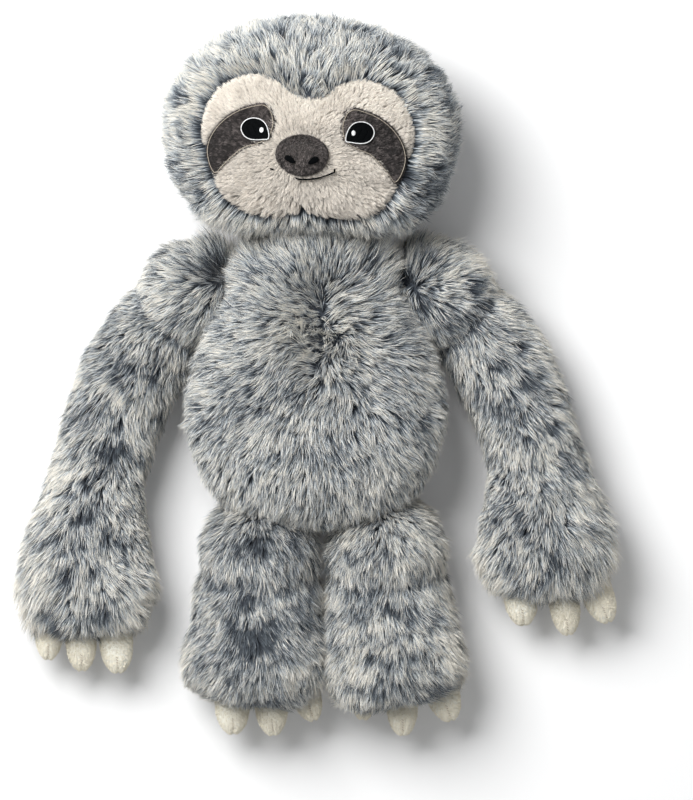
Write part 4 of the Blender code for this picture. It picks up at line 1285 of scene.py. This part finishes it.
def bordered(name, outline, tree, stitch, half_width):
    """Stitches set side by side across an outline on the face, as round a buttonhole."""
    lift, spacing, radius = stitch
    segments = []
    lengths = np.hypot(*(np.roll(outline, -1, 0) - outline).T)
    total = np.concatenate([[0], np.cumsum(lengths)])
    closed = np.concatenate([outline, outline[:1]])
    for at in np.arange(0, total[-1], spacing):
        point, ahead = (
            np.array([np.interp(way, total, closed[:, k]) for k in (0, 1)])
            for way in (at, (at + spacing) % total[-1])
        )
        across = Vector(ahead - point).orthogonal().normalized() * half_width
        segments.append([lifted(tree, Vector(point) + across * side, lift) for side in (-1, 1)])
    return stitches(name, segments, radius)


def eye_line(side):
    """The outline of an eye: a dome over a flat lower edge that ends in a corner beside the nose."""
    return rounded([
        (EYE_PLACES[side].x - side * x * EYE_HALF_WIDTH, EYE_PLACES[side].y + y * EYE_HALF_LENGTH)
        for x, y in EYE_OUTLINE
    ], 4)


class PLUSHSLOTH_OT_eyes(bpy.types.Operator):
    """Embroider the eyes: a black satin stitch, a white border and a white glint"""
    bl_idname = "plush_sloth.eyes"
    bl_label = "Eyes"

    def execute(self, context):
        tree = head_form()
        black = thread("black_embroidery", (0.003, 0.0035, 0.004), 0.6, 0.02)
        white = thread("white_embroidery", (0.93, 0.94, 0.94), 0.5)
        for word, side in SIDES.items():
            line = eye_line(side)
            eye = satin(f"{word}_eye_satin", line, tree, EYE_STITCH, 0.25 * side)
            fitted(eye, black, "head", f"{word}_eye")
            border = bordered(f"{word}_eye_border", line, tree, BORDER_STITCH, BORDER_HALF)
            fitted(border, white, "head", f"{word}_eye_outline")
            middle = EYE_PLACES[side] - Vector((side * GLINT_PLACE.x, GLINT_PLACE.y))
            spot = oval(middle, GLINT_HALVES, 16)
            glint = satin(f"{word}_eye_glint_satin", spot, tree, GLINT_STITCH, 0.4)
            fitted(glint, white, "head", f"{word}_eye_glint")
        return {"FINISHED"}


class PLUSHSLOTH_OT_nose(bpy.types.Operator):
    """Stuff the nose, and embroider the nostrils and the mouth"""
    bl_idname = "plush_sloth.nose"
    bl_label = "Nose and mouth"

    def execute(self, context):
        settings = context.scene.plush_sloth_face
        tree = head_form()
        place, _ = dropped(tree, *on_head(*NOSE_PLACE))
        shape = bmesh.new()
        bmesh.ops.create_uvsphere(shape, u_segments=40, v_segments=24, radius=1.0)
        for vert in shape.verts:
            vert.co.x *= 1 + 0.06 * vert.co.y
        bmesh.ops.scale(shape, verts=shape.verts, vec=NOSE_HALVES - NOSE_PILE_DEPTH)
        bmesh.ops.rotate(shape, verts=shape.verts, matrix=Matrix.Rotation(HEAD_TILT, 3, "Z"))
        bmesh.ops.translate(shape, verts=shape.verts, vec=place - Vector((0, 0, NOSE_SINK)))
        nose = piece_from(shape, "nose_pouch")
        # The backing is painted darker than the pile, as shade between its strands and on the lower side of
        # the nose, which has no pile
        cloth = backing_cloth("nose_backing_shade", tinted(settings.nose_colour, 0.6))
        fitted(nose, cloth, "head", "nose")
        count, width, lock, gather = PILES["nose"]
        roots, normals = roots_on(
            nose, count, np.random.default_rng(51),
            lambda at, up: (at[:, 2] > place.z - NOSE_PILE_BELOW).astype(float),
        )
        pile = combed(
            "nose_pile", roots, normals, lambda at, up: np.tile([0.2, -1.0, 0.0], (len(at), 1)),
            np.full(len(roots), NOSE_PILE), width, lock, gather, leaning("nose"),
            0.5 + 1.5 * smooth_noise(roots, 1.6 * MM, 53), 52,
        )
        dark = short_pile("nose_pile", settings.nose_colour, 0.6, 0.2, (0.1, 0.42), 0.7)
        fitted(pile, dark, "head")

        black = bpy.data.materials["black_embroidery"]
        over_nose = tree_of(nose)
        for word, side in SIDES.items():
            middle = NOSE_PLACE + Vector((side * NOSTRIL_PLACE.x, NOSTRIL_PLACE.y))
            comma = oval(Vector((0, 0)), NOSTRIL_HALVES, 24)
            comma[:, 1] *= 1 + 0.35 * side * comma[:, 0] / NOSTRIL_HALVES.x
            lean = Matrix.Rotation(side * NOSTRIL_LEAN, 2)
            line = np.array([middle + lean @ Vector(point) for point in comma])
            nostril = satin(f"{word}_nostril_satin", line, over_nose, NOSTRIL_STITCH, 1.2)
            fitted(nostril, black, "head", f"{word}_nostril")

        # Pile hides the thread between its first stitch and the middle of the mouth
        line = []
        for share in np.linspace(-1, 1, 15):
            x = MOUTH_MIDDLE_X + share * MOUTH_HALF_WIDTH
            y = MOUTH_CORNER_Y - MOUTH_DROP * (1 - share * share)
            hidden = -0.95 < share < -0.25
            line.append(lifted(tree, (x, y), -MOUTH_HIDDEN_DEPTH if hidden else MOUTH_LIFT))
        corner, _ = dropped(
            tree, *on_head(MOUTH_MIDDLE_X + MOUTH_HALF_WIDTH, MOUTH_CORNER_Y + MOUTH_CURL),
        )
        mouth = stitches("mouth_thread", [
            *((a, a.lerp(b, 1.06)) for a, b in zip(line[:-1], line[1:])),
            (line[-1], corner + Vector((0, 0, MOUTH_LIFT))),
        ], MOUTH_THREAD_RADIUS)
        fitted(mouth, black, "head", "mouth_stitching")
        return {"FINISHED"}


class PLUSHSLOTH_OT_seams(bpy.types.Operator):
    """Sew on the head and the limbs with rings of stitches"""
    bl_idname = "plush_sloth.seams"
    bl_label = "Seams"

    def execute(self, context):
        grey = thread("grey_sewing_thread", (0.16, 0.18, 0.20), 0.6)
        for body, members in frame["record"]["behaviour"]["bodies"].items():
            for node in members:
                if node.endswith("_seam"):
                    fitted(seam_ring(node), grey, body, node)
        return {"FINISHED"}


class PLUSHSLOTH_OT_claws(bpy.types.Operator):
    """Stuff the claws and sew the seam down the middle of each"""
    bl_idname = "plush_sloth.claws"
    bl_label = "Claws"

    def execute(self, context):
        settings = context.scene.plush_sloth_claws
        fleece = short_pile("claw_fleece", settings.colour, 0.75, 0.3, (0.88, 0.96), 0.15)
        cloth = backing_cloth("claw_cloth", settings.colour)
        seam = thread("claw_thread", (0.42, 0.34, 0.27), 0.7)
        count, width, lock, gather = PILES["claw"]
        for number, (name, (x, y, z, half_width, lean)) in enumerate(CLAWS.items()):
            lean = math.radians(lean)
            body = name.rsplit("_claw", 1)[0]
            shape = bmesh.new()
            bmesh.ops.create_uvsphere(shape, u_segments=28, v_segments=20, radius=1.0)
            bmesh.ops.rotate(shape, verts=shape.verts, matrix=Matrix.Rotation(math.pi / 2, 3, "X"))
            for vert in shape.verts:
                # A blunt pouch, narrower to its tip, where its seam draws in a groove and a notch
                tip = (-vert.co.y + 1) / 2
                groove = math.exp(-((vert.co.x / 0.15) ** 2))
                vert.co.z *= 1 - (0.02 + 0.26 * tip**6) * groove
                vert.co.x *= 1 - 0.30 * tip**2
                vert.co.y = math.copysign(abs(vert.co.y) ** 0.72, vert.co.y) + 0.07 * groove * tip**8
            halves = Vector((half_width, CLAW_HALF_LENGTH, CLAW_HALF_DEPTH)) * MM
            bmesh.ops.scale(shape, verts=shape.verts, vec=halves)
            bmesh.ops.rotate(shape, verts=shape.verts, matrix=Matrix.Rotation(lean, 3, "Z"))
            bmesh.ops.translate(shape, verts=shape.verts, vec=Vector((x, y, z)) * MM)
            claw = piece_from(shape, f"{name}_pouch")
            fitted(claw, cloth, body, name)
            roots, normals = roots_on(claw, count, np.random.default_rng(61 + number))
            pile = combed(
                f"{name}_fleece", roots, normals,
                lambda at, up: np.tile([math.sin(lean), -math.cos(lean), 0.0], (len(at), 1)),
                np.full(len(roots), settings.pile), width, lock, gather, leaning("claws"),
                0.6 + 0.2 * smooth_noise(roots, 4 * MM, 91 + number), 71 + number,
            )
            fitted(pile, fleece, body)

            # A line of small stitches closes the seam towards the tip
            over_claw = tree_of(claw)
            turn = Matrix.Rotation(lean, 2)
            segments = []
            for down in np.arange(*CLAW_STITCH_PLACES):
                ends = []
                for side in (-1, 1):
                    flat = turn @ Vector((side * 0.55, -down - 0.4 * side)) + Vector((x, y))
                    place, normal = dropped(over_claw, flat.x * MM, flat.y * MM)
                    ends.append(place + normal * CLAW_STITCH_LIFT)
                segments.append(ends)
            closing = stitches(f"{name}_stitches", segments, CLAW_STITCH_RADIUS)
            fitted(closing, seam, body)
        return {"FINISHED"}


class PLUSHSLOTH_PT_panel(bpy.types.Panel):
    bl_label = "Plush Sloth"
    bl_idname = "PLUSHSLOTH_PT_panel"
    bl_space_type = "VIEW_3D"
    bl_region_type = "UI"
    bl_category = "Plush Sloth"

    def draw(self, context):
        for operator in OPERATORS:
            self.layout.operator(operator.bl_idname)


SETTINGS = {
    "plush_sloth_fur": FurSettings,
    "plush_sloth_face": FaceSettings,
    "plush_sloth_claws": ClawSettings,
    "plush_sloth_stage": StageSettings,
}
OPERATORS = (
    PLUSHSLOTH_OT_stage,
    PLUSHSLOTH_OT_torso,
    PLUSHSLOTH_OT_head,
    PLUSHSLOTH_OT_limbs,
    PLUSHSLOTH_OT_face,
    PLUSHSLOTH_OT_eyes,
    PLUSHSLOTH_OT_nose,
    PLUSHSLOTH_OT_claws,
    PLUSHSLOTH_OT_seams,
)


def register():
    for kind in (*SETTINGS.values(), *OPERATORS, PLUSHSLOTH_PT_panel):
        bpy.utils.register_class(kind)
    for name, kind in SETTINGS.items():
        setattr(bpy.types.Scene, name, bpy.props.PointerProperty(type=kind))


def unregister():
    for name in SETTINGS:
        delattr(bpy.types.Scene, name)
    for kind in reversed((*SETTINGS.values(), *OPERATORS, PLUSHSLOTH_PT_panel)):
        bpy.utils.unregister_class(kind)


def main():
    register()
    frosted_fur("frosted_fur", bpy.context.scene.plush_sloth_fur)
    # The bags' cloth is painted nearly black, as shade that shows between the strands
    backing_cloth("fur_backing_shade", (0.05, 0.06, 0.075))
    for operator in OPERATORS:
        getattr(bpy.ops.plush_sloth, operator.bl_idname.split(".")[1])()


if __name__ == "__main__":
    main()
